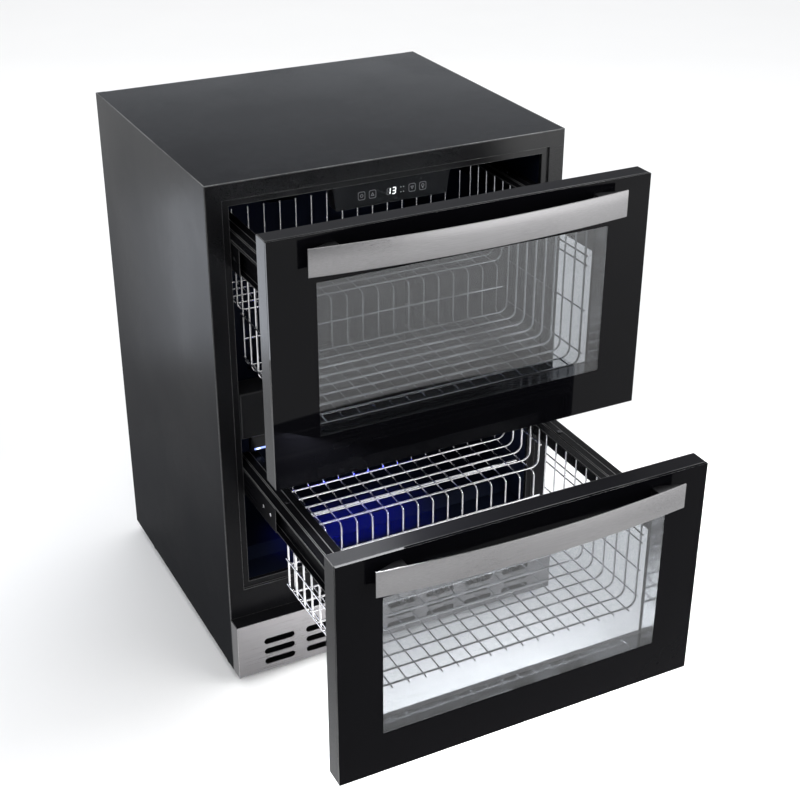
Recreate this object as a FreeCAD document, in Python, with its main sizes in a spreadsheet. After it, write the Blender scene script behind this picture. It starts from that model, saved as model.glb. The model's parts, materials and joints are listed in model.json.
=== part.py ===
import FreeCAD, Part
import math
import os
import re
import Sketcher
from FreeCAD import Vector

# A free-standing refrigerator with two glazed drawers, stood as it is used: +Z up, its front towards -Y,
# the floor at Z = 0 and the origin under the middle of the part with both drawers part-way out.
# Lengths are millimetres. "front" is the plane of the cabinet's front frame.

SIZES = {
    # Cabinet shell
    "cabinet_width": 595,
    "cabinet_depth": 514,
    "cabinet_height": 860,
    "foot_lift": 17.5,
    "shell_gauge": 1.2,
    "shell_return": 15,
    "base_gauge": 2,
    # Front frame, with an outer flange and a set-back inner rim
    "frame_depth": 12,
    "frame_flange": 26.5,
    "frame_step": 4,
    "opening_side": 37.5,
    "opening_top": 37,
    "sill_height": 63.5,
    # Liner: one cavity with a low floor step and a raised rear floor over the machine space
    "liner_wall": 2.5,
    "foam_behind": 44,
    "floor_step_y": 60,
    "floor_step_run": 14,
    "floor_step_rise": 17,
    "hump_depth": 178,
    "hump_rise": 110,
    "hump_chamfer": 16,
    "foam_under": 38,
    "mullion_height": 77,
    "mullion_depth": 46,
    # Kick plate and its slots
    "kick_height": 100.5,
    "kick_reach": 27,
    "kick_gauge": 1.5,
    "kick_inset": 0.5,
    "slot_length": 52,
    "slot_radius": 4.75,
    "slot_pitch": 74.7,
    "slot_columns": 7,
    "slot_row_pitch": 20,
    "slot_low_row": 19,
    # Doors
    "top_reveal": 1.5,
    "door_low": 110,
    "door_split": 10.5,
    "door_thick": 34,
    "glass_thick": 4,
    "window_margin": 69,
    "spacer_wall": 6,
    "glass_lap": 10,
    "frame_lap": 2.5,
    "inner_frame_thick": 16,
    "inner_frame_inset": 12,
    "gasket_thick": 14,
    "gasket_width": 22,
    "seal_gap": 0.3,
    "upper_open": 164,
    "lower_open": 357,
    # Handles: a strip bowed outwards, on a wedge bracket at each end
    "handle_length": 494,
    "handle_height": 40,
    "handle_gauge": 3,
    "handle_drop": 12,
    "handle_standoff": 18,
    "handle_bow": 16,
    "bracket_inset": 3,
    "bracket_length": 44,
    "bracket_foot": 12,
    "bracket_height": 34,
    "bracket_tip": 3,
    "bracket_seat": 0.3,
    # Telescopic slides: three nested channels on each side
    "slide_height": 45.7,
    "slide_depth": 12.7,
    "slide_gauge": 1.2,
    "slide_gap": 0.3,
    "slide_tail": 14,
    "slide_setback": 6,
    "middle_setback": 58,
    "rail_drop": 86,
    # Side carriers of the drawers
    "carrier_width": 40,
    "carrier_gauge": 2.5,
    "carrier_clear": 1,
    "carrier_web": 46,
    "carrier_tail": 51,
    "bead_width": 15,
    "bead_height": 1.5,
    "screw_radius": 4,
    "screw_head": 2,
    "screw_setback": 60,
    "screw_spacing": 190,
    # Wire baskets
    "wire_thick": 3.2,
    "wire_thin": 2.6,
    "brace_thick": 3.2,
    "wire_tip": 4,
    "wire_pitch": 28,
    "basket_inset": 12,
    "basket_corner": 14,
    "basket_bend": 8,
    "basket_front": -6,
    "rim_drop": 48,
    "rim_pitch": 15,
    "upper_floor_clear": 22.25,
    "upper_raise": 84,
    "upper_rear_inset": 55,
    "upper_shelf_depth": 128,
    "upper_wall_drop": 23,
    "lower_floor_clear": 15,
    "lower_shelf_clear": 18,
    "lower_rear_inset": 3,
    "lower_step_clear": 22,
    "lower_wall_rise": 12,
    # Controls and light
    "control_top_half": 98,
    "control_low_half": 92,
    "control_height": 36,
    "control_depth": 26,
    "control_setback": 5,
    "control_glass": 2,
    "control_wall": 2,
    "board_gauge": 1.6,
    "board_margin": 6,
    "light_inset": 27,
    "light_height": 47,
    "light_depth": 16,
    "light_lean": 6,
    "strip_height": 3.5,
    "strip_gauge": 2,
    "strip_rise": 2,
    # Cold air duct, evaporator and its fan
    "duct_inset": 70,
    "duct_depth": 32,
    "duct_rise": 20.5,
    "duct_drop": 23,
    "duct_wall": 2,
    "duct_fan_drop": 110,
    "duct_hole": 50,
    "evaporator_inset": 25,
    "evaporator_drop": 88,
    "evaporator_depth": 26,
    "fan_radius": 45,
    "fan_hub": 16,
    "fan_depth": 12,
    "fan_blades": 5,
    "blade_gauge": 1.6,
    "fan_gap": 3,
    "shaft_radius": 3,
    "shaft_clear": 0.3,
    "motor_radius": 22,
    "motor_length": 12,
    "fin_pitch": 15,
    "fin_gap": 9,
    "fin_spine": 8,
    # Machine space
    "compressor_inset": 176.3,
    "compressor_back": 94,
    "compressor_radius": 76,
    "compressor_height": 160,
    "compressor_seam": 100,
    "compressor_lid": 5,
    "compressor_foot": 92,
    "plate_gauge": 4,
    "condenser_inset": 46.3,
    "condenser_width": 220,
    "condenser_y": 40,
    "condenser_depth": 60,
    "condenser_height": 96,
    "condenser_fan_rise": 50,
    "tray_inset": 166.3,
    "tray_half": 95,
    "tray_back": 164,
    "tray_depth": 130,
    "tray_height": 34,
    "tray_wall": 2,
    "vent_drop": 40,
    "gland_inset": 96.3,
    "gland_rise": 130.5,
    "gland_radius": 9,
    "gland_length": 10,
    "gland_bore": 4,
    # Levelling feet
    "foot_inset": 29.5,
    "foot_front": 45,
    "foot_rear": 84,
    "foot_radius": 23,
    "foot_pad": 9,
    "collar_radius": 13,
    "collar_height": 4,
    "stem_radius": 5,
    "stem_length": 44,
    "stem_clear": 0.3,
    "boss_radius": 11,
    "boss_height": 16,
    # Sides of the small round pieces
    "round_sides": 16,
}

# Places worked out from the sizes above
DERIVED = {
    "half_width": "cabinet_width / 2",
    "inside_half": "half_width - shell_gauge",
    "door_gap": "inner_frame_thick + gasket_thick",
    "front_y": "(lower_open + door_gap + door_thick + handle_standoff + handle_bow - cabinet_depth) / 2",
    "back_y": "front_y + cabinet_depth",
    "opening_half": "half_width - opening_side",
    "opening_high": "cabinet_height - opening_top",
    "frame_low": "foot_lift + kick_height",
    "sill": "frame_low + sill_height",
    "floor_high": "sill + floor_step_rise",
    "hump_top": "sill + hump_rise",
    "cavity_depth": "cabinet_depth - foam_behind",
    "cavity_y": "front_y + cavity_depth",
    "hump_y": "cavity_depth - hump_depth",
    "base_top": "foot_lift + base_gauge",
    "deck_low": "sill - liner_wall - foam_under",
    "deck_y": "front_y + hump_y + foam_under",
    "deck_high": "hump_top - liner_wall - foam_under",
    "door_height": "(cabinet_height - top_reveal - door_split - door_low) / 2",
    "upper_top": "cabinet_height - top_reveal",
    "lower_top": "door_low + door_height",
    "mullion_low": "lower_top + (door_split - mullion_height) / 2",
    "mullion_high": "mullion_low + mullion_height",
    "upper_face": "front_y - door_gap - door_thick - upper_open",
    "lower_face": "front_y - door_gap - door_thick - lower_open",
    "window_half": "half_width - window_margin",
    "handle_half": "handle_length / 2",
    "bow_radius": "(handle_half * handle_half + handle_bow * handle_bow) / (2 * handle_bow)",
    "slide_length": "cavity_depth - slide_setback - slide_tail",
    "slide_drop": "carrier_gauge + carrier_clear / 2 + slide_height / 2",
    "carrier_out": "opening_half - carrier_clear",
    "carrier_in": "carrier_out - carrier_width",
    "carrier_rear": "slide_setback + slide_length - carrier_tail",
    "web_out": "opening_half - slide_depth",
    "upper_rail": "upper_top - rail_drop",
    "lower_rail": "lower_top - rail_drop",
    "basket_half": "carrier_in + basket_inset",
    "upper_deep": "mullion_high + upper_floor_clear",
    "upper_raised": "upper_deep + upper_raise",
    "upper_rear_y": "carrier_rear - upper_rear_inset",
    "upper_step_y": "upper_rear_y - upper_shelf_depth",
    "upper_wall": "upper_rail - carrier_gauge - upper_wall_drop",
    "lower_deep": "floor_high + lower_floor_clear",
    "lower_raised": "hump_top + lower_shelf_clear",
    "lower_rear_y": "carrier_rear - lower_rear_inset",
    "lower_step_y": "hump_y - lower_step_clear",
    "lower_wall": "lower_raised + lower_wall_rise",
    "light_half": "opening_half - light_inset",
    "strip_low": "mullion_low - light_height + strip_rise",
    "duct_half": "opening_half - duct_inset",
    "duct_front": "cavity_y - duct_depth",
    "duct_low": "hump_top + duct_rise",
    "duct_high": "opening_high - duct_drop",
    "duct_fan_z": "duct_high - duct_fan_drop",
    "evaporator_half": "duct_half - evaporator_inset",
    "compressor_x": "compressor_inset - inside_half",
    "condenser_high_x": "inside_half - condenser_inset",
    "condenser_low_x": "condenser_high_x - condenser_width",
    "gland_x": "inside_half - gland_inset",
    "gland_z": "base_top + gland_rise",
    "foot_x": "half_width - foot_inset",
    "foot_front_y": "front_y + foot_front",
    "foot_rear_y": "back_y - foot_rear",
}

doc = FreeCAD.newDocument("drawer_refrigerator")
sheet = doc.addObject("Spreadsheet::Sheet", "sizes")
for row, (alias, value) in enumerate({**SIZES, **DERIVED}.items(), start=1):
    sheet.set(f"A{row}", alias)
    sheet.set(f"B{row}", f"={value}" if alias in DERIVED else str(value))
    sheet.setAlias(f"B{row}", alias)
doc.recompute()

ALIASES = set(SIZES) | set(DERIVED)
NODES = []


def in_sheet(formula):
    """The formula with every size read from the sheet."""
    return re.sub(r"[a-z_]+", lambda m: f"sizes.{m[0]}" if m[0] in ALIASES else m[0], str(formula))


def number(formula):
    """The formula's present value."""
    value = sheet.evalExpression(in_sheet(formula))
    return float(getattr(value, "Value", value))


def bind(thing, **formulas):
    """Tie properties of an object to formulas of the sheet's sizes."""
    for name, formula in formulas.items():
        thing.setExpression(name, in_sheet(formula))


def place(thing, x="0", y="0", z="0"):
    """Tie an object's position to formulas."""
    for axis, formula in zip("xyz", (x, y, z)):
        thing.setExpression(f"Placement.Base.{axis}", in_sheet(formula))


def node(thing, label):
    """Name an object as a sub-part of its own."""
    thing.Label = label
    NODES.append(thing)
    return thing


def new_body(label, **position):
    """An empty body, placed; separate lumps of one group are allowed."""
    body = doc.addObject("PartDesign::Body", label)
    body.AllowCompound = True
    place(body, **position)
    return node(body, label)


def datum(body, role):
    """One of the body's own planes or axes."""
    return (next(f for f in body.Origin.OriginFeatures if f.Role == role), [""])


def add_loop(sketch, points):
    """Add a closed outline of straight edges with every corner tied to its formulas."""
    corners = [Vector(number(u), number(v), 0) for u, v in points]
    first = sketch.GeometryCount
    count = len(corners)
    for i in range(count):
        sketch.addGeometry(Part.LineSegment(corners[i], corners[(i + 1) % count]))
    for i, (u, v) in enumerate(points):
        sketch.addConstraint(Sketcher.Constraint("Coincident", first + i, 2, first + (i + 1) % count, 1))
        for kind, formula, value in (("DistanceX", u, corners[i].x), ("DistanceY", v, corners[i].y)):
            held = sketch.addConstraint(Sketcher.Constraint(kind, -1, 1, first + i, 1, value))
            sketch.setExpression(f"Constraints[{held}]", in_sheet(formula))


def add_circle(sketch, u, v, radius):
    """Add a circle whose centre and radius are tied to formulas."""
    circle = Part.Circle(Vector(number(u), number(v), 0), Vector(0, 0, 1), number(radius))
    index = sketch.addGeometry(circle)
    rules = [("DistanceX", -1, 1, index, 3, number(u)), ("DistanceY", -1, 1, index, 3, number(v))]
    for rule, formula in zip(rules + [("Radius", index, number(radius))], (u, v, radius)):
        held = sketch.addConstraint(Sketcher.Constraint(*rule))
        sketch.setExpression(f"Constraints[{held}]", in_sheet(formula))


def add_ring(sketch, u, v, radius, sides):
    """Add a regular outline of straight edges round a centre, with its corners on the radius."""
    count = round(number(sides))
    turns = [2 * math.pi * (k + 0.5) / count for k in range(count)]
    add_loop(sketch, [(f"({u}) + ({radius}) * {math.sin(a):.6f}", f"({v}) + ({radius}) * {math.cos(a):.6f}")
                      for a in turns])


def add_slot(sketch, u, v, length, radius):
    """Add a level slot with rounded ends, length being from end centre to end centre."""
    points = []
    for sign in (1, -1):
        for degrees in (-90, -45, 0, 45, 90):
            out, up = (sign * f(math.radians(degrees)) for f in (math.cos, math.sin))
            points.append((f"({u}) + {sign} * ({length}) / 2 + ({radius}) * {out:.6f}",
                           f"({v}) + ({radius}) * {up:.6f}"))
    add_loop(sketch, points)


def new_sketch(body, role, *loops):
    """A sketch on one of the body's planes, holding closed outlines."""
    sketch = body.newObject("Sketcher::SketchObject", f"{body.Label}_sketch")
    sketch.AttachmentSupport = datum(body, role)
    sketch.MapMode = "FlatFace"
    for loop in loops:
        add_loop(sketch, loop)
    return sketch


def feature(body, kind, sketch, length, symmetric=False, backwards=False):
    """A Pad or Pocket of a sketch by a bound length."""
    made = body.newObject(f"PartDesign::{kind}", f"{body.Label}_{kind.lower()}")
    made.Profile = sketch
    made.Midplane = symmetric
    made.Reversed = backwards
    bind(made, Length=length)
    doc.recompute()
    return made


def pad(body, sketch, length, **turns):
    return feature(body, "Pad", sketch, length, **turns)


def pocket(body, sketch, length, **turns):
    """Cut a sketch through the body, and make sure that it did cut."""
    before = body.Shape.Volume
    made = feature(body, "Pocket", sketch, length, **turns)
    if body.Shape.Volume >= before:
        raise RuntimeError(f"a pocket of {body.Label} cuts nothing")
    return made


def repeat(body, original, kind, count, **setup):
    """A pattern or mirror image of a feature, which becomes the body's result."""
    made = body.newObject(f"PartDesign::{kind}", f"{body.Label}_{kind.lower()}")
    made.Originals = [original]
    for name, value in setup.items():
        if name in ("Length", "Angle"):
            bind(made, **{name: value})
        else:
            setattr(made, name, value)
    if count:
        bind(made, Occurrences=count)
    body.Tip = made
    doc.recompute()
    return made


def mirror(body, original):
    """The same on the other side of the cabinet's middle."""
    return repeat(body, original, "Mirrored", None, MirrorPlane=datum(body, "YZ_Plane"))


def rectangle(low_u, high_u, low_v, high_v):
    return [(low_u, low_v), (high_u, low_v), (high_u, high_v), (low_u, high_v)]


def across(half, low, high):
    """A rectangle centred on the cabinet's middle."""
    return rectangle(f"-({half})", half, low, high)


def plate(label, outline, y, thick, *holes):
    """A flat upright piece: an outline seen from the front, its front at y and its thickness behind."""
    body = new_body(label, y=f"({y}) + ({thick})")
    pad(body, new_sketch(body, "XZ_Plane", outline, *holes), thick)
    return body


def beam(label, outline, half):
    """A piece with one section, seen from the side, all along the width."""
    body = new_body(label)
    pad(body, new_sketch(body, "YZ_Plane", outline), f"2 * ({half})", symmetric=True)
    return body


def block(label, x, y, z):
    """A plain box given by its low and high ends."""
    box = doc.addObject("Part::Box", label)
    for name, (low, high) in zip(("Length", "Width", "Height"), (x, y, z)):
        bind(box, **{name: f"({high}) - ({low})"})
    place(box, x=x[0], y=y[0], z=z[0])
    return box


def round_pad(body, radius, length, sides):
    """A round boss standing on the body's floor plane."""
    outline = new_sketch(body, "XY_Plane")
    add_ring(outline, "0", "0", radius, sides)
    pad(body, outline, length)


def shell_panels():
    """Top, sides, back and base of the cabinet, and the plates that close the machine space."""
    for side, sign in (("left", "-"), ("right", "")):
        body = new_body(f"{side}_side_panel", z="foot_lift")
        edge, inner = f"{sign}half_width", f"{sign}inside_half"
        turned_in = f"{sign}(inside_half - shell_return)"
        outline = [(edge, "front_y"), (inner, "front_y"), (inner, "back_y - shell_gauge"),
                   (turned_in, "back_y - shell_gauge"), (turned_in, "back_y"), (edge, "back_y")]
        pad(body, new_sketch(body, "XY_Plane", outline), "cabinet_height - foot_lift")
    node(block("top_panel", ("-inside_half", "inside_half"), ("front_y", "back_y - shell_gauge"),
               ("cabinet_height - shell_gauge", "cabinet_height")), "top_panel")
    panel_half = "inside_half - shell_return"
    plate("back_panel", across(panel_half, "deck_high", "cabinet_height - shell_gauge"),
          "back_y - shell_gauge", "shell_gauge")
    cover = plate("rear_service_cover", across(panel_half, "base_top", "deck_high"),
                  "back_y - shell_gauge", "shell_gauge")
    vents = new_sketch(cover, "XZ_Plane")
    for step in range(3):
        height = f"deck_high - vent_drop - {step} * slot_row_pitch"
        add_slot(vents, "compressor_x", height, "2 * slot_length", "slot_radius")
    add_circle(vents, "gland_x", "gland_z", "gland_radius")
    pocket(cover, vents, "4 * shell_gauge", symmetric=True)
    base_pan()
    start, end = "front_y + frame_depth", "back_y - shell_gauge"
    low, high, riser = "deck_low - shell_gauge", "deck_high - shell_gauge", "deck_y + shell_gauge"
    step = [(start, low), (riser, low), (riser, high), (end, high),
            (end, "deck_high"), ("deck_y", "deck_high"), ("deck_y", "deck_low"), (start, "deck_low")]
    beam("machine_deck", step, "inside_half")


def foot_places():
    """The feet's names and places on the floor."""
    for depth in ("front", "rear"):
        for side, sign in (("left", "-"), ("right", "")):
            yield f"{depth}_{side}_foot", f"{sign}foot_x", f"foot_{depth}_y"


def base_pan():
    """The floor of the machine space, with a six-sided nut welded over each foot."""
    body = new_body("base_pan", z="foot_lift")
    outline = rectangle("-inside_half", "inside_half", "front_y", "back_y - shell_gauge")
    pad(body, new_sketch(body, "XY_Plane", outline), "base_gauge")
    bosses, bores = new_sketch(body, "XY_Plane"), new_sketch(body, "XY_Plane")
    for _, x, y in foot_places():
        add_ring(bosses, x, y, "boss_radius", "6")
        add_circle(bores, x, y, "stem_radius + stem_clear")
    pad(body, bosses, "base_gauge + boss_height")
    pocket(body, bores, "base_gauge + boss_height", backwards=True)


def front_frame():
    """The frame round the drawers: a flange all round and a set-back rim at the opening."""
    body = plate("front_frame", across("inside_half", "frame_low", "cabinet_height - shell_gauge"),
                 "front_y", "frame_depth", across("opening_half", "sill", "opening_high"))
    rim = across("half_width - frame_flange", "sill - (opening_side - frame_flange)",
                 "cabinet_height - frame_flange")
    cut = new_sketch(body, "XZ_Plane", rim)
    cut.setExpression("AttachmentOffset.Base.z", in_sheet("frame_depth - frame_step"))
    pocket(body, cut, "frame_step", backwards=True)


def cavity(wall):
    """The liner's inside seen from the side, or its outside when a wall is added."""
    front, rear, floor = "front_y + frame_depth", f"cavity_y + {wall}", f"floor_high - {wall}"
    step, hump = f"front_y + floor_step_y + {wall}", f"front_y + hump_y + {wall}"
    low, top, roof = f"sill - {wall}", f"hump_top - {wall}", f"opening_high + {wall}"
    return [(front, low), (step, low), (f"{step} + floor_step_run", floor), (hump, floor),
            (hump, f"{top} - hump_chamfer"), (f"{hump} + hump_chamfer", top), (rear, top), (rear, roof),
            (front, roof)]


def liner_and_foam():
    """The moulded cavity, and the foam between it and the shell."""
    body = beam("liner", cavity("liner_wall"), "opening_half + liner_wall")
    inside = new_sketch(body, "YZ_Plane", cavity("0"))
    pocket(body, inside, "2 * opening_half", symmetric=True)
    front, rear, roof = "front_y + frame_depth", "back_y - shell_gauge", "cabinet_height - shell_gauge"
    around = [(front, "deck_low"), ("deck_y", "deck_low"), ("deck_y", "deck_high"), (rear, "deck_high"),
              (rear, roof), (front, roof)]
    foam = beam("foam_insulation", around, "inside_half")
    pocket(foam, new_sketch(foam, "YZ_Plane", cavity("liner_wall")), "2 * (opening_half + liner_wall)",
           symmetric=True)


def mullion_and_light():
    """The bar between the drawers, and the light that hangs behind its lower edge."""
    rear, high = "front_y + mullion_depth", "mullion_low"
    beam("mullion", rectangle("front_y", rear, high, "mullion_high"), "opening_half")
    face, low = f"{rear} - light_depth", f"{high} - light_height"
    strip_high = "strip_low + strip_height"
    at_low, at_high = (f"{face} + light_lean / light_height * ({high} - ({z}))"
                       for z in ("strip_low", strip_high))
    strip = [(at_high, strip_high), (f"{at_high} + strip_gauge", strip_high),
             (f"{at_low} + strip_gauge", "strip_low"), (at_low, "strip_low")]
    housing = [(face, high), *strip, (f"{face} + light_lean", low), (rear, low), (rear, high)]
    beam("light_housing", housing, "light_half")
    beam("light_strip", strip, "light_half - light_lean")


def controls():
    """The control block under the frame's top edge: hollow housing, touch glass and circuit board."""
    low = "opening_high - control_height"
    face = [("-control_low_half", low), ("control_low_half", low),
            ("control_top_half", "opening_high"), ("-control_top_half", "opening_high")]
    start = "front_y + control_setback"
    plate("control_glass", face, start, "control_glass")
    housing = plate("control_housing", face, f"{start} + control_glass", "control_depth - control_glass")
    wall = "control_wall"
    inside = across(f"control_low_half - {wall}", f"{low} + {wall}", f"opening_high - {wall}")
    hollow = new_sketch(housing, "XZ_Plane", inside)
    hollow.setExpression("AttachmentOffset.Base.z", in_sheet("control_wall"))
    pocket(housing, hollow, "control_depth", backwards=True)
    plate("control_board", across("control_low_half - board_margin", f"{low} + board_margin",
                                  "opening_high - board_margin"), f"{start} + control_glass", "board_gauge")


def kick_plate():
    """The folded grille under the lower drawer, with three rows of slots."""
    out, wall = "half_width - kick_inset", "half_width - kick_inset - kick_gauge"
    face, inner = "front_y - kick_reach", "front_y - kick_reach + kick_gauge"
    body = new_body("kick_plate", z="foot_lift")
    outline = [(f"-({out})", face), (out, face), (out, "front_y"), (wall, "front_y"), (wall, inner),
               (f"-({wall})", inner), (f"-({wall})", "front_y"), (f"-({out})", "front_y")]
    pad(body, new_sketch(body, "XY_Plane", outline), "kick_height")
    slots = new_sketch(body, "XZ_Plane")
    slots.setExpression("AttachmentOffset.Base.z", in_sheet("kick_reach - front_y"))
    for row_index in range(3):
        add_slot(slots, "-slot_pitch * (slot_columns - 1) / 2",
                 f"slot_low_row + {row_index} * slot_row_pitch", "slot_length", "slot_radius")
    cut = pocket(body, slots, "4 * kick_gauge", symmetric=True)
    repeat(body, cut, "LinearPattern", "slot_columns", Direction=datum(body, "X_Axis"),
           Length="slot_pitch * (slot_columns - 1)")


def door(name):
    """A drawer's glazed front: outer glass, frame, spacer, inner glass, inner frame and gasket."""
    low, high, face = f"{name}_top - door_height", f"{name}_top", f"{name}_face"
    window_low, window_high = f"{low} + window_margin", f"{high} - window_margin"

    def round_window(margin):
        return across(f"window_half + {margin}", f"{window_low} - {margin}", f"{window_high} + {margin}")

    def inset(margin):
        return across(f"half_width - {margin}", f"{low} + {margin}", f"{high} - {margin}")

    plate(f"{name}_outer_glass", inset("0"), face, "glass_thick")
    frame = plate(f"{name}_door_frame", inset("0"), f"{face} + glass_thick", "door_thick - glass_thick",
                  round_window("spacer_wall"))
    rebate = new_sketch(frame, "XZ_Plane", round_window("glass_lap"))
    pocket(frame, rebate, "glass_thick", backwards=True)
    plate(f"{name}_glass_spacer", round_window("spacer_wall"), f"{face} + glass_thick",
          "door_thick - 2 * glass_thick", round_window("0"))
    back = f"{face} + door_thick"
    plate(f"{name}_inner_glass", round_window("glass_lap"), f"{back} - glass_thick", "glass_thick")
    plate(f"{name}_inner_frame", inset("inner_frame_inset"), back, "inner_frame_thick",
          round_window("(glass_lap - frame_lap)"))
    plate(f"{name}_gasket", inset("inner_frame_inset"), f"{back} + inner_frame_thick",
          "gasket_thick - seal_gap", inset("(inner_frame_inset + gasket_width)"))


def handle(name):
    """The bowed strip and the two wedges that carry it."""
    top, face = f"{name}_top - handle_drop", f"{name}_face"
    label = f"{name}_handle_bar"
    centre = f"{face} - handle_standoff - handle_bow + bow_radius"
    rounds = []
    for part_name, radius in (("outside", "bow_radius"), ("inside", "bow_radius - handle_gauge")):
        cylinder = doc.addObject("Part::Cylinder", f"{label}_{part_name}")
        bind(cylinder, Radius=radius, Height="handle_height")
        place(cylinder, y=centre, z=f"{top} - handle_height")
        rounds.append(cylinder)
    tube = doc.addObject("Part::Cut", f"{label}_tube")
    tube.Base, tube.Tool = rounds
    length = block(f"{label}_length", ("-handle_half", "handle_half"),
                   (f"{face} - handle_standoff - handle_bow - handle_gauge", face),
                   (f"{top} - handle_height", top))
    strip = doc.addObject("Part::Common", label)
    strip.Base, strip.Tool = tube, length
    node(strip, label)

    def behind_bar(x):
        """The bar's inner face at x, with the bracket's seating gap."""
        return f"{centre} - sqrt((bow_radius - handle_gauge)^2 - ({x})^2) + bracket_seat"

    tip, root = "handle_half - bracket_inset", "handle_half - bracket_inset - bracket_length"
    wedge = [(root, face), (f"{root} + bracket_foot", face), (tip, f"{behind_bar(tip)} + bracket_tip"),
             (tip, behind_bar(tip)), (root, behind_bar(root))]
    body = new_body(f"{name}_handle_brackets", z=f"{top} - (handle_height + bracket_height) / 2")
    mirror(body, pad(body, new_sketch(body, "XY_Plane", wedge), "bracket_height"))


def channel(label, back, front, height, rear, length):
    """A pair of folded channels along the drawer: back is the web's outer face, front the flange ends."""
    body = new_body(label, y=rear)
    middle, half = height
    web = f"({back}) + slide_gauge * ({front} - ({back})) / abs({front} - ({back}))"
    outer, inner = half, f"({half}) - slide_gauge"
    outline = [(back, f"{middle} - ({outer})"), (front, f"{middle} - ({outer})"),
               (front, f"{middle} - ({inner})"), (web, f"{middle} - ({inner})"),
               (web, f"{middle} + {inner}"), (front, f"{middle} + {inner}"),
               (front, f"{middle} + {outer}"), (back, f"{middle} + {outer}")]
    mirror(body, pad(body, new_sketch(body, "XZ_Plane", outline), length))


def slides(name):
    """The three members of a drawer's slides: on the cabinet, between, and on the drawer."""
    middle = f"{name}_rail - slide_drop"
    step = "slide_gauge + slide_gap"
    heights = [f"slide_height / 2 - {index} * ({step})" for index in range(3)]
    open_by = f"{name}_open"
    rear = "front_y + slide_setback + slide_length"
    wall = "opening_half"
    channel(f"{name}_slide_outer", wall, f"{wall} - slide_depth + {step}", (middle, heights[0]), rear,
            "slide_length")
    channel(f"{name}_slide_middle", f"{wall} - ({step})", f"{wall} - slide_depth + {step}",
            (middle, heights[1]), f"{rear} - {open_by} / 2", "slide_length + slide_setback - middle_setback")
    channel(f"{name}_slide_inner", "web_out", f"{wall} - 2 * ({step})", (middle, heights[2]),
            f"{rear} - {open_by}", "slide_length")


def carriers(name):
    """The drawer's side rails: a beaded top plate on an upright web, and the plate's screws."""
    top, open_by = f"{name}_rail", f"{name}_open"
    front = f"{name}_face + door_thick + inner_frame_thick"
    rear = f"front_y + carrier_rear - {open_by}"
    mid = "(carrier_in + carrier_out) / 2"
    under, web_in = f"{top} - carrier_gauge", "web_out - carrier_gauge"
    section = [("carrier_in", under), (web_in, under), (web_in, f"{top} - carrier_web"),
               ("web_out", f"{top} - carrier_web"), ("web_out", under), ("carrier_out", under),
               ("carrier_out", top), (f"{mid} + bead_width / 2", top),
               (f"{mid} + bead_width / 2 - bead_height", f"{top} + bead_height"),
               (f"{mid} - bead_width / 2 + bead_height", f"{top} + bead_height"),
               (f"{mid} - bead_width / 2", top), ("carrier_in", top)]
    body = new_body(f"{name}_carriers", y=rear)
    mirror(body, pad(body, new_sketch(body, "XZ_Plane", section), f"{rear} - ({front})"))
    screws = new_body(f"{name}_carrier_screws", z=f"{top} + bead_height")
    heads = new_sketch(screws, "XY_Plane")
    for step in range(2):
        add_ring(heads, mid, f"{front} + screw_setback + {step} * screw_spacing", "screw_radius", "6")
    mirror(screws, pad(screws, heads, "screw_head"))


def bent_wire(points, thick, normal, ends):
    """A six-sided wire along a bent line in one plane, mitred at its bends and parted at the named corners.

    One pair of its flats faces into and out of the bend, so crossing wires seat flat on it.
    """
    runs = [(b - a).normalize() for a, b in zip(points, points[1:])]
    rings = []
    for i, point in enumerate(points):
        before, after = runs[max(i - 1, 0)], runs[min(i, len(runs) - 1)]
        side = normal.cross(after)
        cut = (before + after).normalize()
        ring = []
        for k in range(6):
            turn = math.radians(60 * k)
            corner = point + (normal * math.cos(turn) + side * math.sin(turn)) * (thick / math.sqrt(3))
            ring.append(corner + after * ((point - corner).dot(cut) / after.dot(cut)))
        rings.append(ring)
    solids = []
    for first, last in zip(ends, ends[1:]):
        faces = [Part.Face(Part.makePolygon(rings[i] + rings[i][:1])) for i in (first, last)]
        for a, b in zip(rings[first:last], rings[first + 1:last + 1]):
            for k in range(6):
                j = (k + 1) % 6
                faces.append(Part.Face(Part.makePolygon([a[k], a[j], b[j], b[k], a[k]])))
        solid = Part.Solid(Part.Shell(faces))
        if solid.Volume < 0:
            solid.reverse()
        solids.append(solid)
    return solids


def straight_wire(start, end, thick, normal):
    return bent_wire([start, end], thick, normal, (0, 1))


def spread(low, high, pitch):
    """Even places from low to high, about one pitch apart."""
    count = max(1, round((high - low) / pitch))
    return [low + (high - low) * i / count for i in range(count + 1)]


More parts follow.
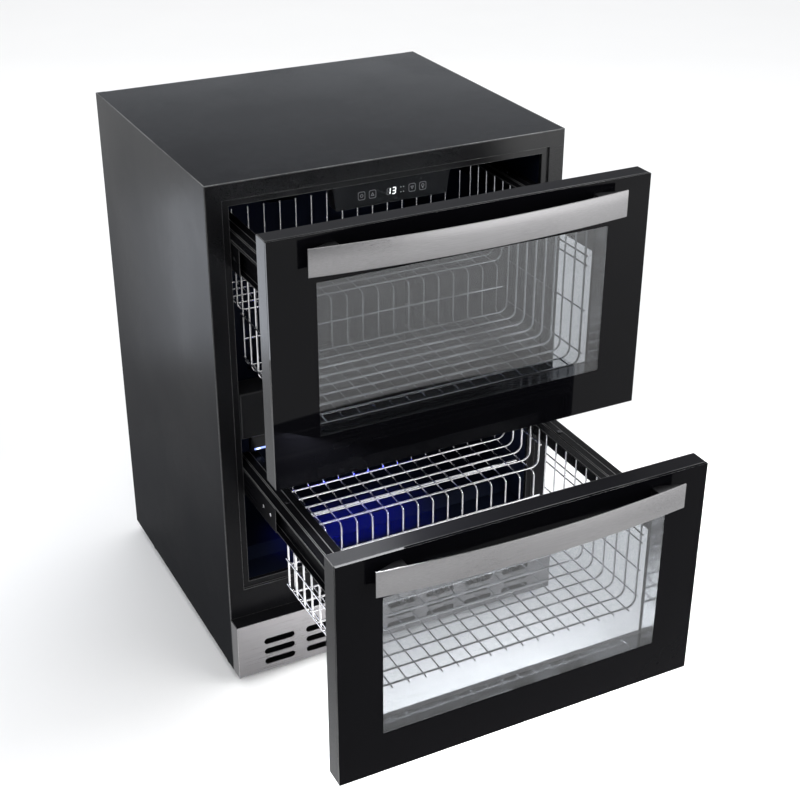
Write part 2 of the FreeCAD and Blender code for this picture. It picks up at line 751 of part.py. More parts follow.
def basket(name):
    """A stepped wire basket: bent cross wires that hang from the carriers, laid on long wires."""
    thick, thin = number("wire_thick"), number("wire_thin")
    corner, bend = number("basket_corner"), number("basket_bend")
    half, pitch, tip = number("basket_half"), number("wire_pitch"), number("wire_tip")
    hang = number(f"{name}_rail - carrier_gauge")
    shift = number(f"front_y - {name}_open")
    front = shift + number("basket_front")
    step, rear = shift + number(f"{name}_step_y"), shift + number(f"{name}_rear_y")
    deep, raised, wall_top = (number(f"{name}_{level}") for level in ("deep", "raised", "wall"))
    along_x, along_y, along_z = Vector(1, 0, 0), Vector(0, 1, 0), Vector(0, 0, 1)
    seat = (thick + thin) / 2
    wires = []

    def cross_wire(y, floor):
        corners = [(-half, hang), (-half, floor + corner), (-half + corner, floor)]
        corners += [(-x, z) for x, z in reversed(corners)]
        return bent_wire([Vector(x, y, z) for x, z in corners], thick, along_y, (0, 2, 3, 5))

    deep_places = spread(front, step - bend - thick, pitch)
    raised_places = spread(step + bend + thick, rear - bend - thick, pitch)
    for y in deep_places:
        wires += cross_wire(y, deep)
    for y in raised_places:
        wires += cross_wire(y, raised)
    low, high = deep - seat, raised - seat
    for x in spread(-half + corner, half - corner, pitch):
        path = [(front - thick / 2 - tip, low), (step - bend, low), (step, low + bend), (step, high - bend),
                (step + bend, high), (rear - bend, high), (rear, high + bend), (rear, wall_top)]
        wires += bent_wire([Vector(x, y, z) for y, z in path], thin, along_x, (0, 1, 4, 5, 7))
    reach = half - thick
    bars = [(step - seat, (deep + raised) / 2)]
    if wall_top - raised > pitch:
        bars.append((rear - seat, (raised + wall_top) / 2))
    for y, z in bars:
        wires += straight_wire(Vector(-reach, y, z), Vector(reach, y, z), thick, along_z)
    brace = (raised_places[1] + raised_places[2]) / 2
    stout = number("brace_thick")
    under = high - (thin + stout) / 2
    ends = (Vector(x, brace, under) for x in (corner - reach, reach - corner))
    wires += straight_wire(*ends, stout, along_y)
    rim = hang - number("rim_drop")
    levels = [rim, rim - number("rim_pitch"), (rim + deep) / 2, deep + corner + thick]
    raised_levels = [(hang + raised) / 2]
    for places, heights in ((deep_places, levels), (raised_places, raised_levels)):
        for x in (-half - seat, half + seat):
            for z in heights:
                ends = (Vector(x, y, z) for y in (places[0] - thick / 2, places[-1] + thick / 2))
                wires += straight_wire(*ends, thin, along_z)
    made = doc.addObject("Part::Feature", f"{name}_basket")
    made.Shape = Part.makeCompound(wires)
    node(made, f"{name}_basket")


def comb(label, x, y, z):
    """A finned exchanger: a block with a spine at its back and gaps cut between upright fins."""
    body = new_body(label, y=f"({y[1]})")
    pad(body, new_sketch(body, "XZ_Plane", rectangle(*x, *z)), f"({y[1]}) - ({y[0]})")
    first = f"({x[0]}) + (fin_pitch - fin_gap)"
    gap = new_sketch(body, "XZ_Plane", rectangle(first, f"{first} + fin_gap", *z))
    gap.setExpression("AttachmentOffset.Base.z", in_sheet("fin_spine"))
    cut = pocket(body, gap, f"({y[1]}) - ({y[0]})", backwards=True)
    count = f"floor((({x[1]}) - ({x[0]}) - (fin_pitch - fin_gap)) / fin_pitch)"
    repeat(body, cut, "LinearPattern", count, Direction=datum(body, "X_Axis"),
           Length=f"fin_pitch * ({count} - 1)")


def fan(label, x, y, z):
    """An axial fan about a front-to-back axis: hub, slanted blades and a bore for the shaft."""
    body = new_body(label, x=x, y=f"({y}) + fan_depth", z=z)
    hub = new_sketch(body, "XZ_Plane")
    add_ring(hub, "0", "0", "fan_hub", "round_sides")
    pad(body, hub, "fan_depth")
    tilt = "(fan_depth - 2 * blade_gauge) / 2"
    low, high = "-fan_depth + blade_gauge", "-blade_gauge"
    slant = [(f"-({tilt}) - blade_gauge", low), (f"-({tilt})", low),
             (f"{tilt} + blade_gauge", high), (tilt, high)]
    blade = pad(body, new_sketch(body, "XY_Plane", slant), "fan_radius")
    repeat(body, blade, "PolarPattern", "fan_blades", Axis=datum(body, "Y_Axis"), Angle="360")
    bore = new_sketch(body, "XZ_Plane")
    add_circle(bore, "0", "0", "shaft_radius + shaft_clear")
    pocket(body, bore, "fan_depth", backwards=True)


def motor(label, x, y, z, shaft, can, backwards=False):
    """A fan motor mounted at y: a can, and a longer shaft that carries the fan."""
    body = new_body(label, x=x, y=y, z=z)
    outline = new_sketch(body, "XZ_Plane")
    add_ring(outline, "0", "0", "motor_radius", "round_sides")
    pad(body, outline, can, backwards=backwards)
    rod = new_sketch(body, "XZ_Plane")
    add_circle(rod, "0", "0", "shaft_radius")
    pad(body, rod, shaft, backwards=backwards)


def cold_air():
    """The duct on the cavity's back wall, with the evaporator and its fan behind it."""
    body = plate("air_duct", across("duct_half", "duct_low", "duct_high"), "duct_front", "duct_depth")
    inside = new_sketch(body, "XZ_Plane", across("duct_half - duct_wall", "duct_low + duct_wall",
                                                "duct_high - duct_wall"))
    pocket(body, inside, "duct_depth - duct_wall", backwards=True)
    grille = new_sketch(body, "XZ_Plane")
    for step in range(-2, 3):
        add_slot(grille, "0", f"duct_fan_z + {step} * slot_row_pitch", "duct_hole", "slot_radius")
    pocket(body, grille, "duct_depth", backwards=True)
    inlet = new_sketch(body, "XZ_Plane")
    for step in range(2):
        add_slot(inlet, "0", f"duct_low + {step + 1} * slot_row_pitch", "3 * slot_length", "slot_radius")
    pocket(body, inlet, "duct_depth", backwards=True)
    low = "duct_low + 3 * slot_row_pitch"
    comb("evaporator", ("-evaporator_half", "evaporator_half"), ("cavity_y - evaporator_depth", "cavity_y"),
         (low, "duct_fan_z - evaporator_drop"))
    fan("evaporator_fan", "0", "cavity_y - motor_length - fan_gap - fan_depth", "duct_fan_z")
    motor("evaporator_fan_motor", "0", "cavity_y", "duct_fan_z", "motor_length + fan_gap + fan_depth",
          "motor_length")


def machine_space():
    """Compressor, condenser with its fan, drip tray and the gland where the mains lead leaves."""
    body = new_body("compressor", x="compressor_x", y="back_y - compressor_back", z="base_top")
    round_pad(body, "compressor_radius", "compressor_seam", "2 * round_sides")
    round_pad(body, "compressor_radius - compressor_lid", "compressor_height", "2 * round_sides")
    foot = new_sketch(body, "XY_Plane", rectangle("-compressor_foot", "compressor_foot",
                                                  "-compressor_radius", "compressor_radius"))
    pad(body, foot, "plate_gauge")
    comb("condenser", ("condenser_low_x", "condenser_high_x"),
         ("front_y + condenser_y", "front_y + condenser_y + condenser_depth"),
         ("base_top", "base_top + condenser_height"))
    behind = "front_y + condenser_y + condenser_depth"
    height, fan_x = "base_top + condenser_fan_rise", "(condenser_low_x + condenser_high_x) / 2"
    fan("condenser_fan", fan_x, f"{behind} + motor_length + fan_gap", height)
    motor("condenser_fan_motor", fan_x, behind, height, "motor_length + fan_gap + fan_depth",
          "motor_length", backwards=True)
    tray = new_body("drip_tray", x="inside_half - tray_inset", y="back_y - tray_back", z="base_top")
    pad(tray, new_sketch(tray, "XY_Plane", across("tray_half", "0", "tray_depth")), "tray_height")
    inside = across("tray_half - tray_wall", "tray_wall", "tray_depth - tray_wall")
    hollow = new_sketch(tray, "XY_Plane", inside)
    hollow.setExpression("AttachmentOffset.Base.z", in_sheet("tray_wall"))
    pocket(tray, hollow, "tray_height", backwards=True)
    gland = new_body("cord_gland", x="gland_x", y="back_y", z="gland_z")
    ring = new_sketch(gland, "XZ_Plane")
    for radius in ("gland_radius", "gland_bore"):
        add_ring(ring, "0", "0", radius, "round_sides")
    pad(gland, ring, "gland_length")


def feet():
    """Four levelling feet: a pad with a spanner collar, on a stem that screws into the base."""
    for label, x, y in foot_places():
        body = new_body(label, x=x, y=y)
        round_pad(body, "foot_radius", "foot_pad - collar_height", "2 * round_sides")
        round_pad(body, "collar_radius", "foot_pad", "6")
        stem = new_sketch(body, "XY_Plane")
        add_circle(stem, "0", "0", "stem_radius")
        pad(body, stem, "stem_length")


def build():
    """Make every sub-part in turn."""
    shell_panels()
    front_frame()
    liner_and_foam()
    mullion_and_light()
    controls()
    kick_plate()
    for name in ("upper", "lower"):
        door(name)
        handle(name)
        slides(name)
        carriers(name)
        basket(name)
    cold_air()
    machine_space()
    feet()


def write():
    """Check every object, then write each sub-part to its own file."""
    doc.recompute()
    for thing in doc.Objects:
        if {"Invalid", "Error"} & set(thing.State):
            raise RuntimeError(f"{thing.Label} failed: {thing.State}")
    os.makedirs("parts", exist_ok=True)
    for thing in NODES:
        shape = thing.Shape
        if shape.isNull() or not shape.isValid() or not shape.Solids:
            raise RuntimeError(f"{thing.Label} has no sound solid")
        shape.exportStep(f"parts/{thing.Label}.step")
        print(thing.Label, len(shape.Solids), round(shape.Volume))


build()
write()
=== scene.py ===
"""The looks of a two-drawer glass-front refrigerator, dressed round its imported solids."""

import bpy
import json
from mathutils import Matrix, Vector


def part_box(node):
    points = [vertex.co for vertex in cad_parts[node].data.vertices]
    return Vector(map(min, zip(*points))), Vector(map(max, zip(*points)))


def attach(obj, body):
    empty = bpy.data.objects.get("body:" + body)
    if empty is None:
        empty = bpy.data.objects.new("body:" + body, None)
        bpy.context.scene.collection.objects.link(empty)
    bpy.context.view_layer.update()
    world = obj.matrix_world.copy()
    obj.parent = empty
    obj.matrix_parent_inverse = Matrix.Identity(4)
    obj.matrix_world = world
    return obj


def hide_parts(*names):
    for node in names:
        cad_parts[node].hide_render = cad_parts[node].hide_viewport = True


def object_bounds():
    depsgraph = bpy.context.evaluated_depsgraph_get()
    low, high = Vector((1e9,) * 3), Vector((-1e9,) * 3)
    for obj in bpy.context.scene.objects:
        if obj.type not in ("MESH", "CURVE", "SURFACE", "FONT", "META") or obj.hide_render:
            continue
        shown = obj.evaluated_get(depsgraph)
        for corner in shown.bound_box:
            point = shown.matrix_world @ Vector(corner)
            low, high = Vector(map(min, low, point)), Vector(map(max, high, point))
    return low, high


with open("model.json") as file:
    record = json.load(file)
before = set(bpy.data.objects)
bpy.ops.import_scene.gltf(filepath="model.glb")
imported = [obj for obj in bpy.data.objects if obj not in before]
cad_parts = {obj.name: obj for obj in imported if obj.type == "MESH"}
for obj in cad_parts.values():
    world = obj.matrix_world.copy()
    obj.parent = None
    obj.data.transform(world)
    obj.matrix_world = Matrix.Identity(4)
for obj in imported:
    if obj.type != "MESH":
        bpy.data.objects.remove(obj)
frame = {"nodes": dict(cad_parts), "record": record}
CAD_BOX = [list(corner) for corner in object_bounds()]

import json
import logging
import math
from collections.abc import Iterable, Sequence
from dataclasses import dataclass
from enum import Enum
from typing import Any

import bmesh
import bpy
from mathutils import Matrix, Vector

LOG = logging.getLogger("refrigerator")
MM = 0.001
Colour = tuple[float, float, float]
Place = tuple[float, float, float]
Point = tuple[float, float]
Mesh = bpy.types.Mesh
Node = bpy.types.Node
Socket = bpy.types.NodeSocket
Tree = bpy.types.NodeTree

# points nearer than WELD are one point, and points within NEAR of a plane lie in it
WELD = 1e-6
NEAR = 0.1 * MM
ORIGIN = ((0.0, 0.0, 0.0),)


# node helpers


def add_node(tree: Tree, kind: str, sockets: dict[str | int, Any] | None = None, **settings: Any) -> Node:
    """Adds a node to a tree and fills its sockets.

    Args:
        tree: The shader or geometry tree.
        kind: The node's type name.
        sockets: Values or other nodes' output sockets, by the input's name or number.
        settings: Properties of the node itself.

    Returns:
        The new node.
    """
    node = tree.nodes.new(kind)
    for name, value in settings.items():
        setattr(node, name, value)
    for key, value in (sockets or {}).items():
        if isinstance(value, Socket):
            tree.links.new(value, node.inputs[key])
        else:
            node.inputs[key].default_value = value
    return node


def maths(tree: Tree, operation: str, *values: Socket | float) -> Socket:
    """The sum, product or power of some sockets and numbers."""
    return add_node(tree, "ShaderNodeMath", dict(enumerate(values)), operation=operation).outputs[0]


def ranged(tree: Tree, value: Socket, start: float, end: float, low: float, high: float) -> Socket:
    """A value that runs from start to end, spread out to run from low to high."""
    return add_node(tree, "ShaderNodeMapRange", dict(enumerate((value, start, end, low, high)))).outputs[0]


def mixed(tree: Tree, share: Socket, first: Any, second: Any) -> Socket:
    """Two colours, mixed by the second one's share."""
    return add_node(tree, "ShaderNodeMix", {0: share, 6: first, 7: second}, data_type="RGBA").outputs[2]


def marked(tree: Tree, name: str) -> Socket:
    """The share that a mesh's own attribute gives, 0 where it has none."""
    return add_node(tree, "ShaderNodeAttribute", attribute_name=name).outputs["Fac"]


class Recipe:
    """A Geometry Nodes tree with named inputs that is run once and leaves a plain mesh."""

    def __init__(self, name: str, inputs: dict[str, str]) -> None:
        """Starts a tree.

        Args:
            name: The tree's name.
            inputs: Socket kinds (Float, Int, Vector, Material) by input name.
        """
        self.tree = bpy.data.node_groups.new(name, "GeometryNodeTree")
        face = self.tree.interface
        face.new_socket("Geometry", in_out="INPUT", socket_type="NodeSocketGeometry")
        for label, kind in inputs.items():
            face.new_socket(label, in_out="INPUT", socket_type=f"NodeSocket{kind}")
        face.new_socket("Finish", in_out="INPUT", socket_type="NodeSocketMaterial")
        face.new_socket("Geometry", in_out="OUTPUT", socket_type="NodeSocketGeometry")
        self.start = self.tree.nodes.new("NodeGroupInput")
        self.end = self.tree.nodes.new("NodeGroupOutput")

    def given(self, label: str) -> Socket:
        """The named input's socket."""
        return self.start.outputs[label]

    def step(self, kind: str, sockets: dict[str | int, Any] | None = None, **settings: Any) -> Socket:
        """Adds a Geometry Nodes step and returns its first output."""
        return add_node(self.tree, f"GeometryNode{kind}", sockets, **settings).outputs[0]

    def rectangle(self, width: str, height: str) -> Socket:
        """The outline of a rectangle whose sides are two named inputs."""
        return self.step("CurvePrimitiveQuadrilateral", {0: self.given(width), 1: self.given(height)})

    def rounded(self, curve: Socket, radius: str, facets: int) -> Socket:
        """Rounds a curve's corners by a named input, with some facets to each."""
        sockets = {"Curve": curve, "Count": facets, "Radius": self.given(radius), "Limit Radius": True}
        return self.step("FilletCurve", sockets, mode="POLY")

    def placed(self, points: Socket, shape: Socket) -> Socket:
        """Puts a shape on every point."""
        return self.step("InstanceOnPoints", {"Points": points, "Instance": shape})

    def join(self, *parts: Socket) -> Socket:
        """Joins several geometries."""
        node = add_node(self.tree, "GeometryNodeJoinGeometry")
        for part in parts:
            self.tree.links.new(part, node.inputs[0])
        return node.outputs[0]

    def close(self, shape: Socket, smooth: bool = False) -> None:
        """Ends the tree: real meshes, their shading and their finish.

        Args:
            shape: The geometry to give out.
            smooth: Whether its faces are shaded smooth.
        """
        real = self.step("RealizeInstances", {0: shape})
        shaded = self.step("SetShadeSmooth", {"Geometry": real, "Shade Smooth": smooth})
        dressed = self.step("SetMaterial", {"Geometry": shaded, "Material": self.given("Finish")})
        self.tree.links.new(dressed, self.end.inputs[0])

    def run(self, source: Mesh, finish: str, **values: Any) -> Mesh:
        """Runs the tree on a mesh.

        Args:
            source: The mesh that the tree starts from.
            finish: The finish that the result wears.
            values: The other inputs, by name with underscores for spaces.

        Returns:
            The result as a plain mesh.
        """
        holder = bpy.data.objects.new("holder", source)
        bpy.context.scene.collection.objects.link(holder)
        modifier = holder.modifiers.new("recipe", "NODES")
        modifier.node_group = self.tree
        values["Finish"] = FINISHES[finish].material()
        for item in self.tree.interface.items_tree:
            key = item.name.replace(" ", "_")
            if item.in_out == "INPUT" and key in values:
                modifier[item.identifier] = values[key]
        graph = bpy.context.evaluated_depsgraph_get()
        made = bpy.data.meshes.new_from_object(holder.evaluated_get(graph))
        holder.modifiers.clear()
        bpy.data.objects.remove(holder)
        return made


def path_mesh(points: Iterable[Sequence[float]], closed: bool = False) -> Mesh:
    """A chain of edges for a recipe to follow.

    Args:
        points: The chain's points, in metres.
        closed: Whether the last point joins the first.

    Returns:
        A mesh of edges only.
    """
    places = [tuple(p) for p in points]
    edges = [(i, i + 1) for i in range(len(places) - 1)]
    if closed:
        edges.append((len(places) - 1, 0))
    mesh = bpy.data.meshes.new("path")
    mesh.from_pydata(places, edges, [])
    return mesh


def wire_recipe() -> Recipe:
    """Round wire along a bent path, repeated at an even spacing."""
    recipe = Recipe("bent_wires", {"Copies": "Int", "Spacing": "Vector", "Wire Radius": "Float",
                                   "Bend Radius": "Float", "Sides": "Int"})
    given, step = recipe.given, recipe.step
    line = step("MeshToCurve", {"Mesh": given("Geometry")})
    bent = recipe.rounded(line, "Bend Radius", facets=5)
    section = step("CurvePrimitiveCircle", {"Resolution": given("Sides"), "Radius": given("Wire Radius")})
    wire = step("CurveToMesh", {"Curve": bent, "Profile Curve": section, "Fill Caps": True})
    places = step("MeshLine", {"Count": given("Copies"), "Offset": given("Spacing")})
    recipe.close(recipe.placed(places, wire), smooth=True)
    return recipe


def plate_recipe() -> Recipe:
    """A flat plate in X and Y with rows of round-cornered holes, thickened upwards."""
    recipe = Recipe("pierced_plate", {"Width": "Float", "Height": "Float", "Corner": "Float",
                                      "Thickness": "Float", "Hole Width": "Float", "Hole Height": "Float",
                                      "Hole Corner": "Float", "Columns": "Int", "Rows": "Int",
                                      "Column Step": "Vector", "Row Step": "Vector", "First Hole": "Vector"})
    given, step = recipe.given, recipe.step
    edge = recipe.rounded(recipe.rectangle("Width", "Height"), "Corner", facets=4)
    hole = recipe.rounded(recipe.rectangle("Hole Width", "Hole Height"), "Hole Corner", facets=8)
    columns = step("MeshLine", {"Count": given("Columns"), "Offset": given("Column Step"),
                                "Start Location": given("First Hole")})
    rows = step("MeshLine", {"Count": given("Rows"), "Offset": given("Row Step")})
    grid = step("RealizeInstances", {0: recipe.placed(rows, columns)})
    holes = step("RealizeInstances", {0: recipe.placed(grid, hole)})
    sheet = step("FillCurve", {"Curve": recipe.join(edge, holes)}, mode="TRIANGLES")
    raised = step("ExtrudeMesh", {"Mesh": sheet, "Offset Scale": given("Thickness"), "Individual": False},
                  mode="FACES")
    shell = recipe.join(raised, step("FlipFaces", {"Mesh": sheet}))
    recipe.close(step("MergeByDistance", {"Geometry": shell, "Distance": WELD}))
    return recipe


def bar_recipe() -> Recipe:
    """A flat bar with rounded edges along an arc through three points."""
    recipe = Recipe("bowed_bar", {"Start": "Vector", "Middle": "Vector", "End": "Vector", "Gauge": "Float",
                                  "Height": "Float", "Edge": "Float"})
    given, step = recipe.given, recipe.step
    course = {"Resolution": 49, "Start": given("Start"), "Middle": given("Middle"), "End": given("End")}
    level = step("SetCurveNormal", {"Curve": step("CurveArc", course, mode="POINTS")}, mode="Z_UP")
    section = recipe.rounded(recipe.rectangle("Gauge", "Height"), "Edge", facets=2)
    bar = step("CurveToMesh", {"Curve": level, "Profile Curve": section, "Fill Caps": True})
    recipe.close(bar, smooth=True)
    return recipe


def stud_recipe() -> Recipe:
    """A low screw head with a round socket on every point of a mesh, turned to face outwards."""
    recipe = Recipe("screw_heads", {"Radius": "Float", "Rise": "Float", "Turn": "Vector"})
    tree, given, step = recipe.tree, recipe.given, recipe.step
    shoulder, socket_rim, socket_floor, socket_depth = 0.8, 0.55, 0.9, -0.6
    sunk = maths(tree, "MULTIPLY", given("Rise"), socket_depth)
    head = add_node(tree, "GeometryNodeMeshCylinder", {"Vertices": 16, "Radius": given("Radius"),
                                                       "Depth": given("Rise")})
    mesh, top = head.outputs["Mesh"], head.outputs["Top"]
    for share, rise in ((shoulder, given("Rise")), (socket_rim, 0.0), (socket_floor, sunk)):
        raise_top = {"Mesh": mesh, "Selection": top, "Offset Scale": rise, "Individual": False}
        risen = add_node(tree, "GeometryNodeExtrudeMesh", raise_top, mode="FACES")
        top = risen.outputs["Top"]
        mesh = step("ScaleElements", {"Geometry": risen.outputs["Mesh"], "Selection": top, "Scale": share})
    places = step("MeshToPoints", {"Mesh": given("Geometry")})
    recipe.close(step("InstanceOnPoints", {"Points": places, "Instance": mesh, "Rotation": given("Turn")}))
    return recipe


def row_recipe() -> Recipe:
    """Small blocks in an even row."""
    recipe = Recipe("block_row", {"Copies": "Int", "Spacing": "Vector", "First": "Vector", "Size": "Vector"})
    given, step = recipe.given, recipe.step
    places = step("MeshLine", {"Count": given("Copies"), "Offset": given("Spacing"),
                               "Start Location": given("First")})
    recipe.close(recipe.placed(places, step("MeshCube", {"Size": given("Size")})))
    return recipe


# finishes

# what all finishes share: two patterns and the range of their sum, the relief's depth, the lacquer's gloss,
# how fast the painted highlight's sheen grows with height, and how much rougher an upward face is
BROAD_NOISE = {"Scale": 6.0, "Detail": 3.0}
FINE_NOISE = {"Scale": 1.0, "Detail": 4.0}
SUM_RANGE = (0.7, 1.3)
BUMP_DEPTH = 0.4 * MM
COAT_ROUGHNESS = 0.08
PAINTED_SHEEN_POWER = 3.0
UPWARD_ROUGHNESS = 0.24


class Grain(Enum):
    """How fine a finish's pattern is along X, Y and Z, in features per metre."""

    POWDER = (1100.0, 1100.0, 1100.0)
    MOULDED = (1500.0, 1500.1, 1500.0)
    BRUSHED = (9.0, 1600.0, 1600.0)
    DRAWN = (1300.0, 10.0, 1300.0)
    PLATED = (90.0, 90.0, 90.1)
    SPANGLED = (85.0, 85.0, 85.0)
    CLOUDED = (14.0, 14.0, 14.0)
    FOAMED = (420.0, 420.0, 420.0)


@dataclass(frozen=True)
class Finish:
    """One finish of the refrigerator, as a Principled surface whose colour, gloss and relief vary."""

    slot: str
    colour: Colour
    roughness: float
    grain: Grain
    metallic: float = 0.0
    specular: float = 0.5
    painted_sheen_climb: float = 0.0
    shaded_top_sheen: float = 0.0
    coat: float = 0.0
    clear: float = 0.0
    glow: float = 0.0
    shade: float = 0.10
    spread: float = 0.06
    relief: float = 0.06
    rim: float = 0.0
    key: str = ""

    def material(self) -> bpy.types.Material:
        """The finish's material, made at its first use."""
        name = f"{self.key or self.slot}_finish"
        made = bpy.data.materials.get(name)
        if made is None:
            made = bpy.data.materials.new(name)
            made.use_nodes = True
            self._fill(made.node_tree)
        return made

    def _fill(self, tree: Tree) -> None:
        """Builds the nodes of the material.

        Args:
            tree: The material's tree.
        """
        shader = tree.nodes["Principled BSDF"]
        place = add_node(tree, "ShaderNodeTexCoord").outputs["Object"]
        fine = self._pattern(tree, place)
        broad = add_node(tree, "ShaderNodeTexNoise", {"Vector": place, **BROAD_NOISE}).outputs[0]
        both = maths(tree, "ADD", fine, broad)
        for name, value in (("Metallic", self.metallic), ("Specular IOR Level", self.specular),
                            ("Coat Weight", self.coat), ("Coat Roughness", COAT_ROUGHNESS),
                            ("Transmission Weight", self.clear)):
            shader.inputs[name].default_value = value
        if self.glow:
            shader.inputs["Emission Color"].default_value = (*self.colour, 1.0)
            shader.inputs["Emission Strength"].default_value = self.glow
        self._paint_sheen(tree, shader, place)
        self._tint(tree, shader, both)
        if self.clear:
            shader.inputs["Roughness"].default_value = self.roughness
            return
        low, high = max(self.roughness - self.spread, 0.0), self.roughness + self.spread
        gloss = ranged(tree, both, *SUM_RANGE, low, high)
        if self.shaded_top_sheen:
            gloss = maths(tree, "MULTIPLY_ADD", marked(tree, "upward"), UPWARD_ROUGHNESS, gloss)
        tree.links.new(gloss, shader.inputs["Roughness"])
        if self.relief:
            sockets = {"Strength": self.relief, "Distance": BUMP_DEPTH, "Height": fine}
            tree.links.new(add_node(tree, "ShaderNodeBump", sockets).outputs[0], shader.inputs["Normal"])

    def _paint_sheen(self, tree: Tree, shader: Node, place: Socket) -> None:
        """Paints a highlight that grows towards the top, or paints shade on upward faces by lowering their
        sheen.

        Args:
            tree: The material's tree.
            shader: Its Principled node.
            place: The surface's own coordinates.
        """
        # painted highlight: the sheen grows with the cube of the height, brighter towards the top
        if self.painted_sheen_climb:
            height = add_node(tree, "ShaderNodeSeparateXYZ", {0: place}).outputs["Z"]
            share = ranged(tree, height, 0.0, CAD_BOX[1][2], 0.0, 1.0)
            change = (maths(tree, "POWER", share, PAINTED_SHEEN_POWER), self.painted_sheen_climb)
        # painted shade: upward faces get less sheen, and are rougher too
        elif self.shaded_top_sheen:
            change = (marked(tree, "upward"), self.shaded_top_sheen - self.specular)
        else:
            return
        sheen = maths(tree, "MULTIPLY_ADD", *change, self.specular)
        tree.links.new(sheen, shader.inputs["Specular IOR Level"])

    def _pattern(self, tree: Tree, place: Socket) -> Socket:
        """The fine pattern, from 0 to 1.

        Args:
            tree: The material's tree.
            place: The surface's own coordinates.

        Returns:
            The pattern's socket.
        """
        sized = {"Vector": place, "Scale": self.grain.value}
        stretched = add_node(tree, "ShaderNodeMapping", sized).outputs[0]
        if self.grain is Grain.SPANGLED:
            cells = add_node(tree, "ShaderNodeTexVoronoi", {"Vector": stretched, "Scale": 1.0})
            return add_node(tree, "ShaderNodeRGBToBW", {0: cells.outputs["Color"]}).outputs[0]
        return add_node(tree, "ShaderNodeTexNoise", {"Vector": stretched, **FINE_NOISE}).outputs[0]

    def _tint(self, tree: Tree, shader: Node, pattern: Socket) -> None:
        """Lays the colour, a little uneven, with paler rims where a finish has them, painted highlights and
        wear.

        Args:
            tree: The material's tree.
            shader: Its Principled node.
            pattern: The joined patterns, about 1.
        """
        share = ranged(tree, pattern, *SUM_RANGE, 0.0, 1.0)
        tones = (1 - self.shade, 1 + self.shade)
        dark, pale = ((*(min(part * tone, 1.0) for part in self.colour), 1.0) for tone in tones)
        laid = mixed(tree, share, dark, pale)
        # the rims are laid paler: painted highlights along the rounded edges, partly standing for bare worn
        # edges
        if self.rim:
            wear_and_highlight_share = maths(tree, "MULTIPLY", marked(tree, "rim"), share)
            wear_and_highlight_colour = (*(min(part + self.rim, 1.0) for part in self.colour), 1.0)
            laid = mixed(tree, wear_and_highlight_share, laid, wear_and_highlight_colour)
        tree.links.new(laid, shader.inputs["Base Color"])


